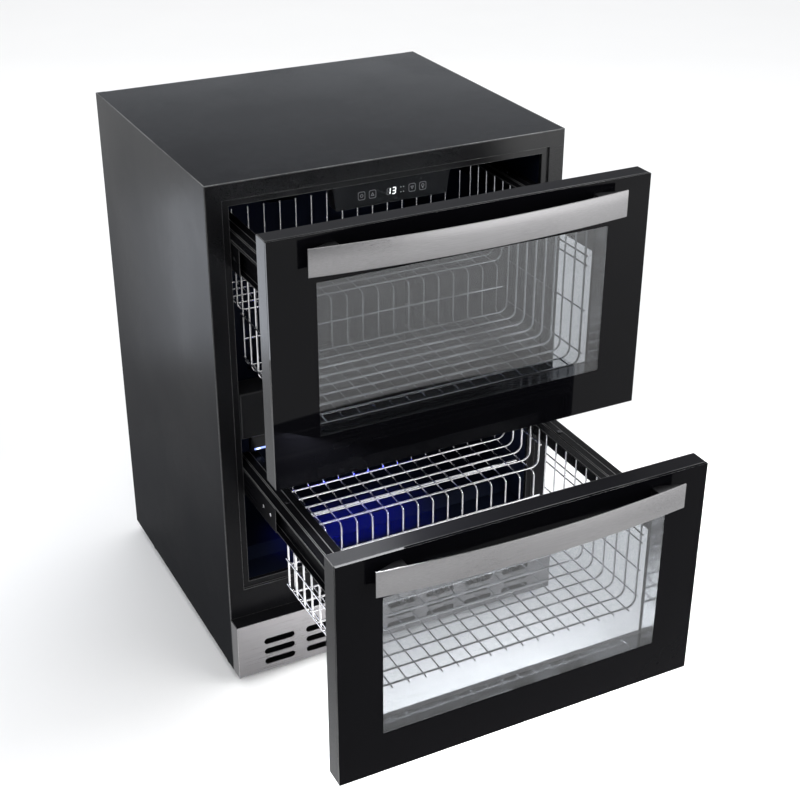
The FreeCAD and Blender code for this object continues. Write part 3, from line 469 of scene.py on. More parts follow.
FINISHES = {finish.key or finish.slot: finish for finish in (
    # the shell and frame paints carry a painted highlight whose sheen grows towards the top
    Finish("shell_paint", (0.008, 0.0085, 0.0105), 0.30, Grain.POWDER, specular=0.004, painted_sheen_climb=0.050, rim=0.22,
           relief=0.04),
    # the top panel's copy of the shell paint: its own painted sheen, and a painted highlight along its front
    # edge
    Finish("shell_paint", (0.008, 0.0085, 0.0105), 0.27, Grain.POWDER, specular=0.018, rim=0.55, relief=0.04,
           key="top_paint"),
    Finish("frame_paint", (0.007, 0.007, 0.008), 0.28, Grain.POWDER, specular=0.03, painted_sheen_climb=0.45, rim=0.12,
           spread=0.02, relief=0.03),
    Finish("back_sheet", (0.26, 0.27, 0.28), 0.5, Grain.SPANGLED, metallic=0.4, rim=0.3),
    Finish("zinc_steel", (0.50, 0.52, 0.55), 0.30, Grain.DRAWN, metallic=1.0, shade=0.12),
    # the kick plate and the handles wear two copies of one stainless, paler on the handles: painted light
    # and shade
    Finish("stainless", (0.20, 0.195, 0.20), 0.32, Grain.BRUSHED, metallic=1.0, shade=0.08, rim=0.45,
           relief=0.05),
    Finish("stainless", (0.27, 0.266, 0.27), 0.33, Grain.BRUSHED, metallic=1.0, shade=0.14, spread=0.08,
           relief=0.10, key="handle_steel"),
    Finish("bracket_metal", (0.13, 0.13, 0.135), 0.34, Grain.POWDER, metallic=1.0),
    Finish("carrier_metal", (0.005, 0.005, 0.006), 0.28, Grain.POWDER, specular=0.03, rim=0.28, relief=0.04),
    Finish("screw_metal", (0.70, 0.70, 0.72), 0.22, Grain.PLATED, metallic=1.0),
    Finish("screw_metal", (0.07, 0.07, 0.075), 0.26, Grain.PLATED, metallic=1.0, key="dark_screw"),
    Finish("chrome_wire", (0.86, 0.86, 0.88), 0.14, Grain.PLATED, metallic=1.0, shade=0.05),
    Finish("dark_plastic", (0.007, 0.007, 0.008), 0.36, Grain.MOULDED, specular=0.14, rim=0.03),
    # the liner's navy tint is painted blue light from the light strip
    Finish("liner_plastic", (0.008, 0.011, 0.024), 0.34, Grain.MOULDED, specular=0.03, relief=0.04),
    Finish("foam", (0.80, 0.74, 0.55), 0.85, Grain.FOAMED, relief=0.5),
    Finish("control_glass", (0.010, 0.011, 0.013), 0.14, Grain.CLOUDED, specular=0.25, relief=0.0),
    Finish("circuit_board", (0.02, 0.16, 0.06), 0.4, Grain.MOULDED, shade=0.3),
    Finish("light_lens", (0.30, 0.40, 1.0), 0.2, Grain.PLATED, glow=1.4),
    Finish("bare_aluminium", (0.70, 0.71, 0.72), 0.36, Grain.DRAWN, metallic=1.0),
    Finish("fan_plastic", (0.06, 0.06, 0.065), 0.45, Grain.MOULDED),
    Finish("motor_plastic", (0.035, 0.035, 0.04), 0.5, Grain.MOULDED),
    Finish("black_paint", (0.012, 0.012, 0.012), 0.24, Grain.POWDER, coat=0.3),
    Finish("gasket_rubber", (0.022, 0.022, 0.024), 0.55, Grain.MOULDED, relief=0.1),
    # the door edges' tops get less sheen: painted shade on their upward faces
    Finish("door_edge", (0.012, 0.012, 0.014), 0.24, Grain.POWDER, specular=0.09, shaded_top_sheen=0.025, rim=0.25,
           relief=0.04),
    Finish("black_glass", (0.003, 0.003, 0.004), 0.03, Grain.CLOUDED, specular=0.045, spread=0.015,
           relief=0.0, rim=0.80),
    # the upper front's copy of the black glass reflects more: painted reflection, lighter than the lower
    # front
    Finish("black_glass", (0.003, 0.003, 0.004), 0.03, Grain.CLOUDED, specular=0.10, spread=0.015,
           relief=0.0, rim=0.80, key="upper_glass"),
    Finish("spacer_metal", (0.74, 0.745, 0.76), 0.09, Grain.BRUSHED, metallic=1.0, spread=0.04, relief=0.02),
    Finish("clear_glass", (0.56, 0.575, 0.59), 0.0, Grain.CLOUDED, clear=1.0, shade=0.02),
    Finish("foot_plastic", (0.02, 0.02, 0.02), 0.5, Grain.MOULDED),
    Finish("zinc_steel", (0.004, 0.004, 0.005), 0.28, Grain.DRAWN, specular=0.008, rim=0.30,
           key="slide_steel"),
    # near black on the base pan and machine deck: painted shade of the closed space behind the kick plate
    Finish("zinc_steel", (0.010, 0.010, 0.011), 0.40, Grain.POWDER, specular=0.05, key="base_coat"),
    Finish("light_lens", (0.66, 0.76, 1.0), 0.2, Grain.PLATED, glow=2.6, key="diode"),
    Finish("control_glass", (0.95, 0.97, 1.0), 0.3, Grain.PLATED, glow=1.7, key="lit_digit"),
    Finish("control_glass", (0.36, 0.37, 0.39), 0.4, Grain.PLATED, key="key_print"),
    Finish("control_glass", (0.62, 0.64, 0.66), 0.4, Grain.PLATED, glow=0.40, key="dot_print"),
    Finish("control_glass", (0.17, 0.17, 0.18), 0.4, Grain.PLATED, key="unlit_digit"),
)}


# pieces

# faces within FLAT are one face, edges past CORNER are rounded, and edges past CREASE stay sharp
FLAT = math.radians(1.0)
CORNER = math.radians(30.0)
CREASE = math.radians(35.0)
# a face whose normal rises past this looks up
UPWARD = 0.95


def hand_over(name: str, mesh: Mesh, finish: str, body: str, *nodes: str) -> None:
    """Makes a finished piece of a mesh that already lies in place.

    Args:
        name: The piece's name.
        mesh: Its mesh, in the frame's own place.
        finish: The finish that it wears.
        body: The body that it rides on.
        nodes: The solids that it stands for.
    """
    mesh.name = name
    mesh.materials.clear()
    mesh.materials.append(FINISHES[finish].material())
    piece = bpy.data.objects.new(name, mesh)
    bpy.context.scene.collection.objects.link(piece)
    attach(piece, body)
    if nodes:
        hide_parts(*nodes)
    LOG.info("%s: %d faces, %s, on %s", name, len(mesh.polygons), finish, body)


def joined(meshes: Iterable[Mesh]) -> Mesh:
    """Several meshes as one."""
    bm = bmesh.new()
    for mesh in meshes:
        bm.from_mesh(mesh)
    return as_mesh(bm)


def as_mesh(bm: bmesh.types.BMesh) -> Mesh:
    """The bmesh as a new mesh, and the bmesh is freed."""
    mesh = bpy.data.meshes.new("piece")
    bm.to_mesh(mesh)
    bm.free()
    return mesh


def turned_out(mesh: Mesh, place: Matrix) -> Mesh:
    """Moves a mesh into place, turns its faces outwards and keeps its corners crisp.

    Args:
        mesh: The mesh to change.
        place: Where it goes.

    Returns:
        The same mesh.
    """
    bm = bmesh.new()
    bm.from_mesh(mesh)
    bmesh.ops.remove_doubles(bm, verts=bm.verts, dist=WELD)
    bmesh.ops.transform(bm, matrix=place, verts=bm.verts)
    bmesh.ops.recalc_face_normals(bm, faces=bm.faces)
    bm.to_mesh(mesh)
    bm.free()
    mesh.set_sharp_from_angle(angle=CREASE)
    return mesh


def mark(bm: bmesh.types.BMesh, name: str, faces: Iterable[bmesh.types.BMFace]) -> None:
    """Sets a named share to 1 on some faces and leaves the rest at 0.

    Args:
        bm: The bmesh to change.
        name: The share's name.
        faces: The faces that get it.
    """
    layer = bm.loops.layers.float.new(name)
    for face in faces:
        for loop in face.loops:
            loop[layer] = 1.0


def softened(node: str, width: float, segments: int = 2) -> Mesh:
    """A copy of a solid's mesh with its corners rounded, and its rims and upward faces marked.

    Args:
        node: The solid's name.
        width: The rounding, in metres.
        segments: Faces across each rounding.

    Returns:
        The new mesh.
    """
    bm = bmesh.new()
    bm.from_mesh(frame["nodes"][node].data)
    bmesh.ops.remove_doubles(bm, verts=bm.verts, dist=WELD)
    bmesh.ops.dissolve_limit(bm, angle_limit=FLAT, verts=bm.verts, edges=bm.edges)
    round_off(bm, bm.edges, width, segments)
    bm.normal_update()
    mark(bm, "upward", [face for face in bm.faces if face.normal.z > UPWARD])
    return as_mesh(bm)


def round_off(bm: bmesh.types.BMesh, edges: Iterable[bmesh.types.BMEdge], width: float,
              segments: int) -> None:
    """Rounds a bmesh's sharp edges and marks the new faces as rims.

    Args:
        bm: The bmesh to change.
        edges: The edges to look at.
        width: The rounding, in metres.
        segments: Faces across each rounding.
    """
    corners = [e for e in edges if e.is_manifold and e.calc_face_angle(0.0) > CORNER]
    made = bmesh.ops.bevel(bm, geom=corners, offset=width, segments=segments, profile=0.5, affect="EDGES",
                           clamp_overlap=True)
    mark(bm, "rim", made["faces"])


def round_front(mesh: Mesh, box: Sequence[Vector], near: float, width: float, segments: int,
                foot: bool) -> Mesh:
    """Rounds the front edges along an upright plate's outline.

    Args:
        mesh: The plate, in place.
        box: Its lowest and highest corners.
        near: How near to the outline an edge has to lie.
        width: The rounding, in metres.
        segments: Faces across the rounding.
        foot: Whether the plate's foot is rounded too.

    Returns:
        A new mesh.
    """
    low, high = box

    def on_outline(spot: Vector) -> bool:
        """Whether a point lies on the part of the outline that is rounded."""
        at_foot = foot and spot.z < low.z + near
        return spot.y < low.y + NEAR and (abs(spot.x) > high.x - near or spot.z > high.z - near or at_foot)

    bm = bmesh.new()
    bm.from_mesh(mesh)
    round_off(bm, [e for e in bm.edges if all(on_outline(v.co) for v in e.verts)], width, segments)
    return as_mesh(bm)


def slab(outline: Sequence[Point], front: float, back: float) -> Mesh:
    """A flat piece facing the front.

    Args:
        outline: Its corners in X and Z, in metres.
        front: Its front face's Y.
        back: Its back face's Y.

    Returns:
        A closed mesh.
    """
    bm = bmesh.new()
    face = bm.faces.new([bm.verts.new((x, front, z)) for x, z in outline])
    swept = bmesh.ops.extrude_face_region(bm, geom=[face])
    moved = [v for v in swept["geom"] if isinstance(v, bmesh.types.BMVert)]
    bmesh.ops.translate(bm, vec=(0.0, back - front, 0.0), verts=moved)
    bmesh.ops.recalc_face_normals(bm, faces=bm.faces)
    return as_mesh(bm)


def sheet(first: Point, second: Point, front: float, back: float) -> Mesh:
    """A rectangular slab between two opposite corners in X and Z."""
    (left, foot), (right, top) = first, second
    return slab([(left, foot), (right, foot), (right, top), (left, top)], front, back)


UPRIGHT = Matrix.Rotation(math.pi / 2, 4, "X")
WIRES = wire_recipe()
PLATES = plate_recipe()
BARS = bar_recipe()
STUDS = stud_recipe()
ROWS = row_recipe()


@dataclass
class Cabinet:
    """The painted shell, its front frame, the bar between the drawers and the slotted kick plate."""

    body: str = "cabinet"
    fold: float = 0.55 * MM
    frame_edge: float = 0.9 * MM
    sheet_edge: float = 0.4 * MM
    bar_edge: float = 2 * MM
    cover_edge: float = 1 * MM
    kick_gauge: float = 1.5 * MM
    kick_edge: float = 0.6 * MM
    slot_length: float = 42.5 * MM
    slot_radius: float = 5.75 * MM
    slot_pitch: float = 74.7 * MM
    slot_row: float = 20 * MM
    slot_low: float = 19 * MM
    columns: int = 7
    rows: int = 3
    screw_radius: float = 4 * MM
    screw_rise: float = 0.9 * MM
    screw_inset: float = 9 * MM
    side_screws: tuple[tuple[str, int], ...] = (("back_panel", 5), ("rear_service_cover", 3))
    top_screws: tuple[float, ...] = (-120 * MM, 0.0, 120 * MM)

    def build(self) -> None:
        """Makes and dresses every cabinet piece."""
        for node, edge, finish in (("top_panel", self.fold, "top_paint"),
                                   ("left_side_panel", self.fold, "shell_paint"),
                                   ("right_side_panel", self.fold, "shell_paint"),
                                   ("front_frame", self.frame_edge, "frame_paint"),
                                   ("back_panel", self.sheet_edge, "back_sheet"),
                                   ("rear_service_cover", self.sheet_edge, "back_sheet")):
            hand_over(f"{node}_skin", softened(node, edge), finish, self.body, node)
        hand_over("mullion_bar", softened("mullion", self.bar_edge, 3), "dark_plastic", self.body, "mullion")
        hand_over("light_housing_cover", softened("light_housing", self.cover_edge), "dark_plastic",
                  self.body, "light_housing")
        self.kick_plate()
        self.back_screws()

    def kick_plate(self) -> None:
        """The slotted plate under the lower drawer, folded back at sides and foot, and its dark ledge."""
        low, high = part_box("kick_plate")
        width, height = high.x - low.x, high.z - low.z
        face = PLATES.run(
            path_mesh(ORIGIN), "stainless", Width=width, Height=height, Corner=0.0,
            Thickness=self.kick_gauge, Hole_Width=self.slot_length + 2 * self.slot_radius,
            Hole_Height=2 * self.slot_radius, Hole_Corner=self.slot_radius,
            Columns=self.columns, Rows=self.rows, Column_Step=(self.slot_pitch, 0, 0),
            Row_Step=(0, self.slot_row, 0),
            First_Hole=(-self.slot_pitch * (self.columns - 1) / 2, self.slot_low - height / 2, 0))
        behind, floor = low.y + self.kick_gauge, low.z + self.kick_gauge
        inner = high.x - self.kick_gauge
        stand = Matrix.Translation((0, behind, low.z + height / 2)) @ UPRIGHT
        front = round_front(turned_out(face, stand), (low, high), NEAR, self.kick_edge, 2, foot=False)
        folds = [sheet((low.x, low.z), (high.x, floor), behind, high.y)]
        folds += [sheet((side * high.x, floor), (side * inner, high.z), behind, high.y) for side in (-1, 1)]
        hand_over("kick_plate_grille", joined([front, *folds]), "stainless", self.body, "kick_plate")
        ledge = sheet((-inner, high.z - self.kick_gauge), (inner, high.z), behind, high.y)
        hand_over("kick_plate_ledge", ledge, "frame_paint", self.body)

    def back_screws(self) -> None:
        """Screws round the back panel and the service cover."""
        places = []
        for node, count in self.side_screws:
            low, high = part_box(node)
            first, last, seat = low.z + self.screw_inset, high.z - self.screw_inset, high.y - NEAR
            for i in range(count):
                z = first + (last - first) * i / (count - 1)
                places += [(x, seat, z) for x in (low.x + self.screw_inset, high.x - self.screw_inset)]
            places += [(x, seat, last) for x in self.top_screws]
        mesh = STUDS.run(path_mesh(places), "screw_metal", Radius=self.screw_radius, Rise=self.screw_rise,
                         Turn=(-math.pi / 2, 0, 0))
        hand_over("back_screws", mesh, "screw_metal", self.body)


@dataclass
class Controls:
    """The control block at the top of the opening: glass, two digits, four dots and four touch keys."""

    body: str = "cabinet"
    edge: float = 0.6 * MM
    level: float = 804.4 * MM
    tens: float = -6.4 * MM
    units: float = 2.6 * MM
    digit_width: float = 5.2 * MM
    digit_height: float = 9.4 * MM
    stroke: float = 1.3 * MM
    stroke_gap: float = 0.25 * MM
    slant: float = 0.10
    dot_radius: float = 0.7 * MM
    dot_sides: int = 12
    dots: tuple[Point, ...] = tuple((x * MM, z * MM) for x in (14.0, 18.5) for z in (800.6, 808.2))
    key_width: float = 11.6 * MM
    key_height: float = 12.8 * MM
    key_corner: float = 2.6 * MM
    key_facets: int = 4
    key_line: float = 0.89
    key_places: tuple[float, ...] = (-51 * MM, -33 * MM, 33 * MM, 51 * MM)
    ring_radius: float = 2.6 * MM
    ring_line: float = 0.68
    arrow_half: float = 2.9 * MM
    arrow_foot: float = 2.4 * MM
    arrow_middle: float = 0.6 * MM
    arrow_line: float = 0.5
    bulb_radius: float = 2.5 * MM
    bulb_rise: float = 0.9 * MM
    cap_half: float = 1.1 * MM
    cap_low: float = -3.4 * MM
    cap_high: float = -1.5 * MM
    ink_out: float = 0.15 * MM
    ink_in: float = 0.05 * MM

    def build(self) -> None:
        """Makes and dresses the control block."""
        for name, node, finish in (("control_cover", "control_glass", "control_glass"),
                                   ("control_block", "control_housing", "dark_plastic")):
            hand_over(name, softened(node, self.edge), finish, self.body, node)
        lit = self.segments("bc", self.tens) + self.segments("abcdg", self.units)
        self.print_on("display_digits", lit, "lit_digit")
        self.print_on("display_unlit", self.segments("adefg", self.tens), "unlit_digit")
        dots = [self.ring(x, z, self.dot_radius, self.dot_sides) for x, z in self.dots]
        self.print_on("display_dots", dots, "dot_print")
        self.print_on("touch_keys", self.keys(), "key_print")

    def segments(self, names: str, centre: float) -> list[list[Point]]:
        """Outlines of a digit's bars.

        Args:
            names: The bars, a to g.
            centre: The digit's middle in X.

        Returns:
            One outline for each bar.
        """
        w, h, t = self.digit_width / 2, self.digit_height / 2, self.stroke / 2
        ends = {"a": ((-w, h), (w, h)), "b": ((w, h), (w, 0)), "c": ((w, 0), (w, -h)),
                "d": ((-w, -h), (w, -h)), "e": ((-w, 0), (-w, -h)), "f": ((-w, h), (-w, 0)),
                "g": ((-w, 0), (w, 0))}
        outlines = []
        for name in names:
            start, end = Vector(ends[name][0]), Vector(ends[name][1])
            along = (end - start).normalized()
            side = Vector((-along.y, along.x)) * t
            start, end = start + along * self.stroke_gap, end - along * self.stroke_gap
            corners = (start, start + along * t + side, end - along * t + side, end, end - along * t - side,
                       start + along * t - side)
            outlines.append([(centre + p.x + p.y * self.slant, self.level + p.y) for p in corners])
        return outlines

    @staticmethod
    def ring(x: float, z: float, radius: float, sides: int = 20) -> list[Point]:
        """A round outline about a point."""
        turns = (2 * math.pi * i / sides for i in range(sides))
        return [(x + radius * math.cos(t), z + radius * math.sin(t)) for t in turns]

    @staticmethod
    def band(outer: Sequence[Point], centre: Point, share: float) -> list[list[Point]]:
        """A thin closed band inside an outline, as one quad for each side.

        Args:
            outer: The outline.
            centre: The point that it shrinks towards.
            share: The inner outline's size against the outer one.

        Returns:
            The quads.
        """
        cx, cz = centre
        inner = [(cx + (x - cx) * share, cz + (z - cz) * share) for x, z in outer]
        count = len(outer)
        return [[outer[i], outer[(i + 1) % count], inner[(i + 1) % count], inner[i]] for i in range(count)]

    def key_outline(self, x: float) -> list[Point]:
        """A key's outline with round corners.

        Args:
            x: The key's middle in X.

        Returns:
            The outline's points.
        """
        w, h, r = self.key_width / 2, self.key_height / 2, self.key_corner
        corners = ((w - r, h - r), (r - w, h - r), (r - w, r - h), (w - r, r - h))
        outline = []
        for quarter, (cx, cz) in enumerate(corners):
            turns = (math.radians(90 * (quarter + i / self.key_facets)) for i in range(self.key_facets + 1))
            outline += [(x + cx + r * math.cos(t), self.level + cz + r * math.sin(t)) for t in turns]
        return outline

    def keys(self) -> list[list[Point]]:
        """The key outlines and their signs: a ring, an arrow up, an arrow down and a lamp."""
        shapes, z = [], self.level
        for x in self.key_places:
            shapes += self.band(self.key_outline(x), (x, z), self.key_line)
        first, second, third, fourth = self.key_places
        shapes += self.band(self.ring(first, z, self.ring_radius), (first, z), self.ring_line)
        for x, way in ((second, 1), (third, -1)):
            foot, tip = z - way * self.arrow_foot, z + way * self.arrow_half
            arrow = [(x - self.arrow_half, foot), (x + self.arrow_half, foot), (x, tip)]
            shapes += self.band(arrow, (x, z - way * self.arrow_middle), self.arrow_line)
        bulb = z + self.bulb_rise
        shapes += self.band(self.ring(fourth, bulb, self.bulb_radius), (fourth, bulb), self.ring_line)
        left, right = fourth - self.cap_half, fourth + self.cap_half
        low, high = z + self.cap_low, z + self.cap_high
        shapes.append([(left, low), (right, low), (right, high), (left, high)])
        return shapes

    def print_on(self, name: str, outlines: list[list[Point]], finish: str) -> None:
        """Lays thin marks on the control glass.

        Args:
            name: The piece's name.
            outlines: The marks' outlines in X and Z.
            finish: The finish that they wear.
        """
        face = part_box("control_glass")[0].y
        marks = [slab(outline, face - self.ink_out, face + self.ink_in) for outline in outlines]
        hand_over(name, joined(marks), finish, self.body)


@dataclass
class CabinetLight:
    """The light strip behind the bar between the drawers: a lens and a row of diodes."""

    body: str = "cabinet"
    lens_edge: float = 0.4 * MM
    diodes: int = 26
    size: Place = (6 * MM, 0.8 * MM, 2.6 * MM)
    end_gap: float = 6 * MM
    sunk: float = 0.3 * MM

    def build(self) -> None:
        """Makes and dresses the strip."""
        low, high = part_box("light_strip")
        lens = softened("light_strip", self.lens_edge)
        hand_over("light_lens", lens, "light_lens", self.body, "light_strip")
        step = (high.x - low.x - 2 * self.end_gap) / (self.diodes - 1)
        first = (low.x + self.end_gap, low.y + self.sunk, (low.z + high.z) / 2)
        mesh = ROWS.run(path_mesh(ORIGIN), "diode", Copies=self.diodes, Spacing=(step, 0, 0), First=first,
                        Size=self.size)
        hand_over("light_diodes", mesh, "diode", self.body)


@dataclass
class DrawerFront:
    """A glazed drawer front: printed glass round a clear window, frame, seal, handle and brackets."""

    drawer: str
    pane: str = "black_glass"
    window_margin: float = 69 * MM
    window_corner: float = 1.0 * MM
    window_gap: float = 0.05 * MM
    glass_thick: float = 4 * MM
    glass_corner: float = 0.8 * MM
    glass_bevel: float = 0.5 * MM
    glass_reach: float = 1 * MM
    handle_gauge: float = 3 * MM
    handle_edge: float = 0.7 * MM
    frame_edge: float = 1.1 * MM
    inner_edge: float = 2.0 * MM
    bracket_edge: float = 0.8 * MM
    carrier_edge: float = 0.45 * MM
    slide_edge: float = 0.35 * MM
    screw_radius: float = 4 * MM
    rivet_radius: float = 3 * MM
    rivet_rise: float = 0.08 * MM
    rivet_shares: tuple[float, ...] = (0.05, 0.12, 0.37, 0.62, 0.88)
    seal_foot: float = 4 * MM
    seal_margin: float = 4 * MM
    seal_width: float = 18 * MM
    seal_corner: float = 6 * MM
    seal_bend: float = 14 * MM
    seal_sides: int = 14
    seal_lip: float = 1.6 * MM

    @property
    def body(self) -> str:
        """The body that the front rides on."""
        return f"{self.drawer}_drawer"

    def build(self) -> None:
        """Makes and dresses the front."""
        name = self.drawer
        self.glass()
        self.handle()
        self.seal()
        self.screws()
        members = {"inner": self.body, "middle": f"{name}_slide_middles", "outer": "cabinet"}
        for member, body in members.items():
            node = f"{name}_slide_{member}"
            hand_over(f"{node}_skin", softened(node, self.slide_edge), "slide_steel", body, node)
        self.rivets()
        for part, width, segments, finish in (("door_frame", self.frame_edge, 2, "door_edge"),
                                              ("inner_frame", self.inner_edge, 3, "dark_plastic"),
                                              ("handle_brackets", self.bracket_edge, 2, "bracket_metal"),
                                              ("carriers", self.carrier_edge, 2, "carrier_metal")):
            node = f"{name}_{part}"
            hand_over(f"{node}_skin", softened(node, width, segments), finish, self.body, node)

    def seal(self) -> None:
        """The rubber seal behind the front: a flat foot, a round bulb and two side lips."""
        name, lip = self.drawer, self.seal_lip
        low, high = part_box(f"{name}_gasket")
        width, height = (high[axis] - low[axis] - 2 * self.seal_margin for axis in (0, 2))
        mid, behind = (low.z + high.z) / 2, low.y + self.seal_foot
        foot = PLATES.run(path_mesh(ORIGIN), "gasket_rubber", Width=width, Height=height,
                          Corner=self.seal_corner, Thickness=self.seal_foot,
                          Hole_Width=width - 2 * self.seal_width, Hole_Height=height - 2 * self.seal_width,
                          Hole_Corner=self.seal_corner, Columns=1, Rows=1)
        stand = Matrix.Translation((0, behind, mid)) @ UPRIGHT
        bulb = (high.y - behind) / 2
        rounds = []
        for inset, radius, depth in ((self.seal_width / 2, bulb, high.y - bulb), (lip, lip, behind),
                                     (self.seal_width - lip, lip, behind)):
            x, z = width / 2 - inset, height / 2 - inset
            corners = [(a * x, depth, mid + b * z) for a, b in ((-1, -1), (1, -1), (1, 1), (-1, 1))]
            rounds.append(WIRES.run(path_mesh(corners, closed=True), "gasket_rubber", Copies=1,
                                    Spacing=(0, 0, 0), Wire_Radius=radius, Bend_Radius=self.seal_bend,
                                    Sides=self.seal_sides))
        hand_over(f"{name}_seal", joined([turned_out(foot, stand), *rounds]), "gasket_rubber", self.body,
                  f"{name}_gasket")

    def screws(self) -> None:
        """The screws in the side rails' top plates."""
        name, r = self.drawer, self.screw_radius
        low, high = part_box(f"{name}_carrier_screws")
        rise = (high.z - low.z) / 2
        places = [(x, y, low.z + rise / 2) for x in (low.x + r, high.x - r) for y in (low.y + r, high.y - r)]
        mesh = STUDS.run(path_mesh(places), "dark_screw", Radius=r, Rise=rise, Turn=(0, 0, 0))
        hand_over(f"{name}_rail_screws", mesh, "dark_screw", self.body, f"{name}_carrier_screws")

    def rivets(self) -> None:
        """Flush rivets along the outer faces of the slides' middle members."""
        low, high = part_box(f"{self.drawer}_slide_middle")
        mid, reach = (low.z + high.z) / 2, high.y - low.y
        rows = []
        for x, turn in ((low.x, -math.pi / 2), (high.x, math.pi / 2)):
            places = [(x, low.y + reach * share, mid) for share in self.rivet_shares]
            rows.append(STUDS.run(path_mesh(places), "screw_metal", Radius=self.rivet_radius,
                                  Rise=self.rivet_rise, Turn=(0, turn, 0)))
        hand_over(f"{self.drawer}_slide_rivets", joined(rows), "screw_metal", f"{self.drawer}_slide_middles")

    def glass(self) -> None:
        """The outer pane: black print all round, and the clear window within it."""
        name = self.drawer
        low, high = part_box(f"{name}_outer_glass")
        width, height, mid = high.x - low.x, high.z - low.z, (low.z + high.z) / 2
        opening, rise = width - 2 * self.window_margin, height - 2 * self.window_margin
        ring = PLATES.run(path_mesh(ORIGIN), self.pane, Width=width, Height=height, Corner=self.glass_corner,
                          Thickness=self.glass_thick, Hole_Width=opening, Hole_Height=rise,
                          Hole_Corner=self.window_corner, Columns=1, Rows=1)
        stand = Matrix.Translation((0, high.y, mid)) @ UPRIGHT
        printed = round_front(turned_out(ring, stand), (low, high), self.glass_reach, self.glass_bevel, 1,
                              foot=True)
        hand_over(f"{name}_printed_glass", printed, self.pane, self.body, f"{name}_outer_glass")
        x, z = opening / 2 - self.window_gap, rise / 2 - self.window_gap
        window = sheet((-x, mid - z), (x, mid + z), low.y, high.y)
        hand_over(f"{name}_window_pane", window, "clear_glass", self.body)

    def handle(self) -> None:
        """The bowed strip."""
        name = self.drawer
        low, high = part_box(f"{name}_handle_bar")
        mid, gauge = (low.z + high.z) / 2, self.handle_gauge
        bow = high.y - low.y - gauge
        ends = [(x, low.y + gauge / 2 + bow, mid) for x in (low.x, high.x)]
        mesh = BARS.run(path_mesh(ORIGIN), "handle_steel", Start=ends[0], Middle=(0, low.y + gauge / 2, mid),
                        End=ends[1], Gauge=gauge, Height=high.z - low.z, Edge=self.handle_edge)
        hand_over(f"{name}_handle_strip", turned_out(mesh, Matrix.Identity(4)), "handle_steel", self.body,
                  f"{name}_handle_bar")


@dataclass(frozen=True)
class WireFamily:
    """Equal wires in a row: one path, and how it is repeated."""

    path: tuple[Place, ...]
    radius: float
    bend: float = 0.0
    copies: int = 1
    spacing: Place = (0.0, 0.0, 0.0)
    sides: int = 10

    def mesh(self) -> Mesh:
        """The family's wires as one mesh."""
        return WIRES.run(path_mesh(self.path), "chrome_wire", Copies=self.copies, Spacing=self.spacing,
                         Wire_Radius=self.radius, Bend_Radius=self.bend, Sides=self.sides)


@dataclass
class WireBasket:
    """A stepped basket of chromed wire that hangs between a drawer's side rails. Lengths are metres."""

    drawer: str
    hang: float
    front: float
    step: float
    rear: float
    deep: float
    raised: float
    wall_top: float
    half: float = 231 * MM
    thick: float = 1.6 * MM
    thin: float = 1.3 * MM
    stout: float = 1.6 * MM
    tip: float = 4 * MM
    corner: float = 14 * MM
    bend: float = 8 * MM
    pitch: float = 28 * MM
    rim_drop: float = 48 * MM
    rim_gap: float = 15 * MM
    brace_gaps: float = 1.5

    def build(self) -> None:
        """Makes and dresses the basket."""
        wires = joined(family.mesh() for family in self.families())
        hand_over(f"{self.drawer}_wire_basket", wires, "chrome_wire", f"{self.drawer}_drawer",
                  f"{self.drawer}_basket")

    def stations(self, low: float, high: float) -> tuple[int, float]:
        """How many wires stand from low to high, and the step between them."""
        gaps = max(1, round((high - low) / self.pitch))
        return gaps + 1, (high - low) / gaps

    def families(self) -> list[WireFamily]:
        """Every wire of the basket, family by family."""
        clear = self.bend + 2 * self.thick
        deep_ends = (self.front, self.step - clear)
        raised_ends = (self.step + clear, self.rear - clear)
        seat = self.thick + self.thin
        made = []
        for (first, last), floor in ((deep_ends, self.deep), (raised_ends, self.raised)):
            count, gap = self.stations(first, last)
            path = ((-self.half, first, self.hang), (-self.half, first, floor), (self.half, first, floor),
                    (self.half, first, self.hang))
            made.append(WireFamily(path, self.thick, self.corner, count, (0, gap, 0)))
        low, high = self.deep - seat, self.raised - seat
        side = self.half - self.corner
        count, gap = self.stations(-side, side)
        path = ((-side, self.front - self.thick - self.tip, low), (-side, self.step, low),
                (-side, self.step, high), (-side, self.rear, high), (-side, self.rear, self.wall_top))
        made.append(WireFamily(path, self.thin, self.bend, count, (gap, 0, 0)))
        brace_level = high - self.thin - self.stout
        return made + self.bars(raised_ends, brace_level) + self.side_wires(deep_ends, raised_ends)

    def bars(self, raised_ends: Point, brace_level: float) -> list[WireFamily]:
        """The straight wires across: riser, rear wall and the brace under the raised floor.

        Args:
            raised_ends: The raised floor's first and last wires, in Y.
            brace_level: The brace's height.

        Returns:
            One family for each wire.
        """
        seat, reach = self.thick + self.thin, self.half - 2 * self.thick
        gap = self.stations(*raised_ends)[1]
        rows = [(self.step - seat, (self.deep + self.raised) / 2, reach, self.thick),
                (raised_ends[0] + self.brace_gaps * gap, brace_level, reach - self.corner, self.stout)]
        if self.wall_top - self.raised > self.pitch:
            rows.append((self.rear - seat, (self.raised + self.wall_top) / 2, reach, self.thick))
        return [WireFamily(((-x, y, z), (x, y, z)), radius) for y, z, x, radius in rows]

    def side_wires(self, deep_ends: Point, raised_ends: Point) -> list[WireFamily]:
        """The long wires outside the basket's two sides.

        Args:
            deep_ends: The deep floor's first and last wires, in Y.
            raised_ends: The raised floor's first and last wires, in Y.

        Returns:
            One family for each pair.
        """
        rim, out = self.hang - self.rim_drop, self.half + self.thick + self.thin
        levels = (rim, rim - self.rim_gap, (rim + self.deep) / 2, self.deep + self.corner + 2 * self.thick)
        runs = [(deep_ends, z) for z in levels] + [(raised_ends, (self.hang + self.raised) / 2)]
        return [WireFamily(((-out, first - self.thick, z), (-out, last + self.thick, z)), self.thin, 0.0, 2,
                           (2 * out, 0, 0)) for (first, last), z in runs]


# studio


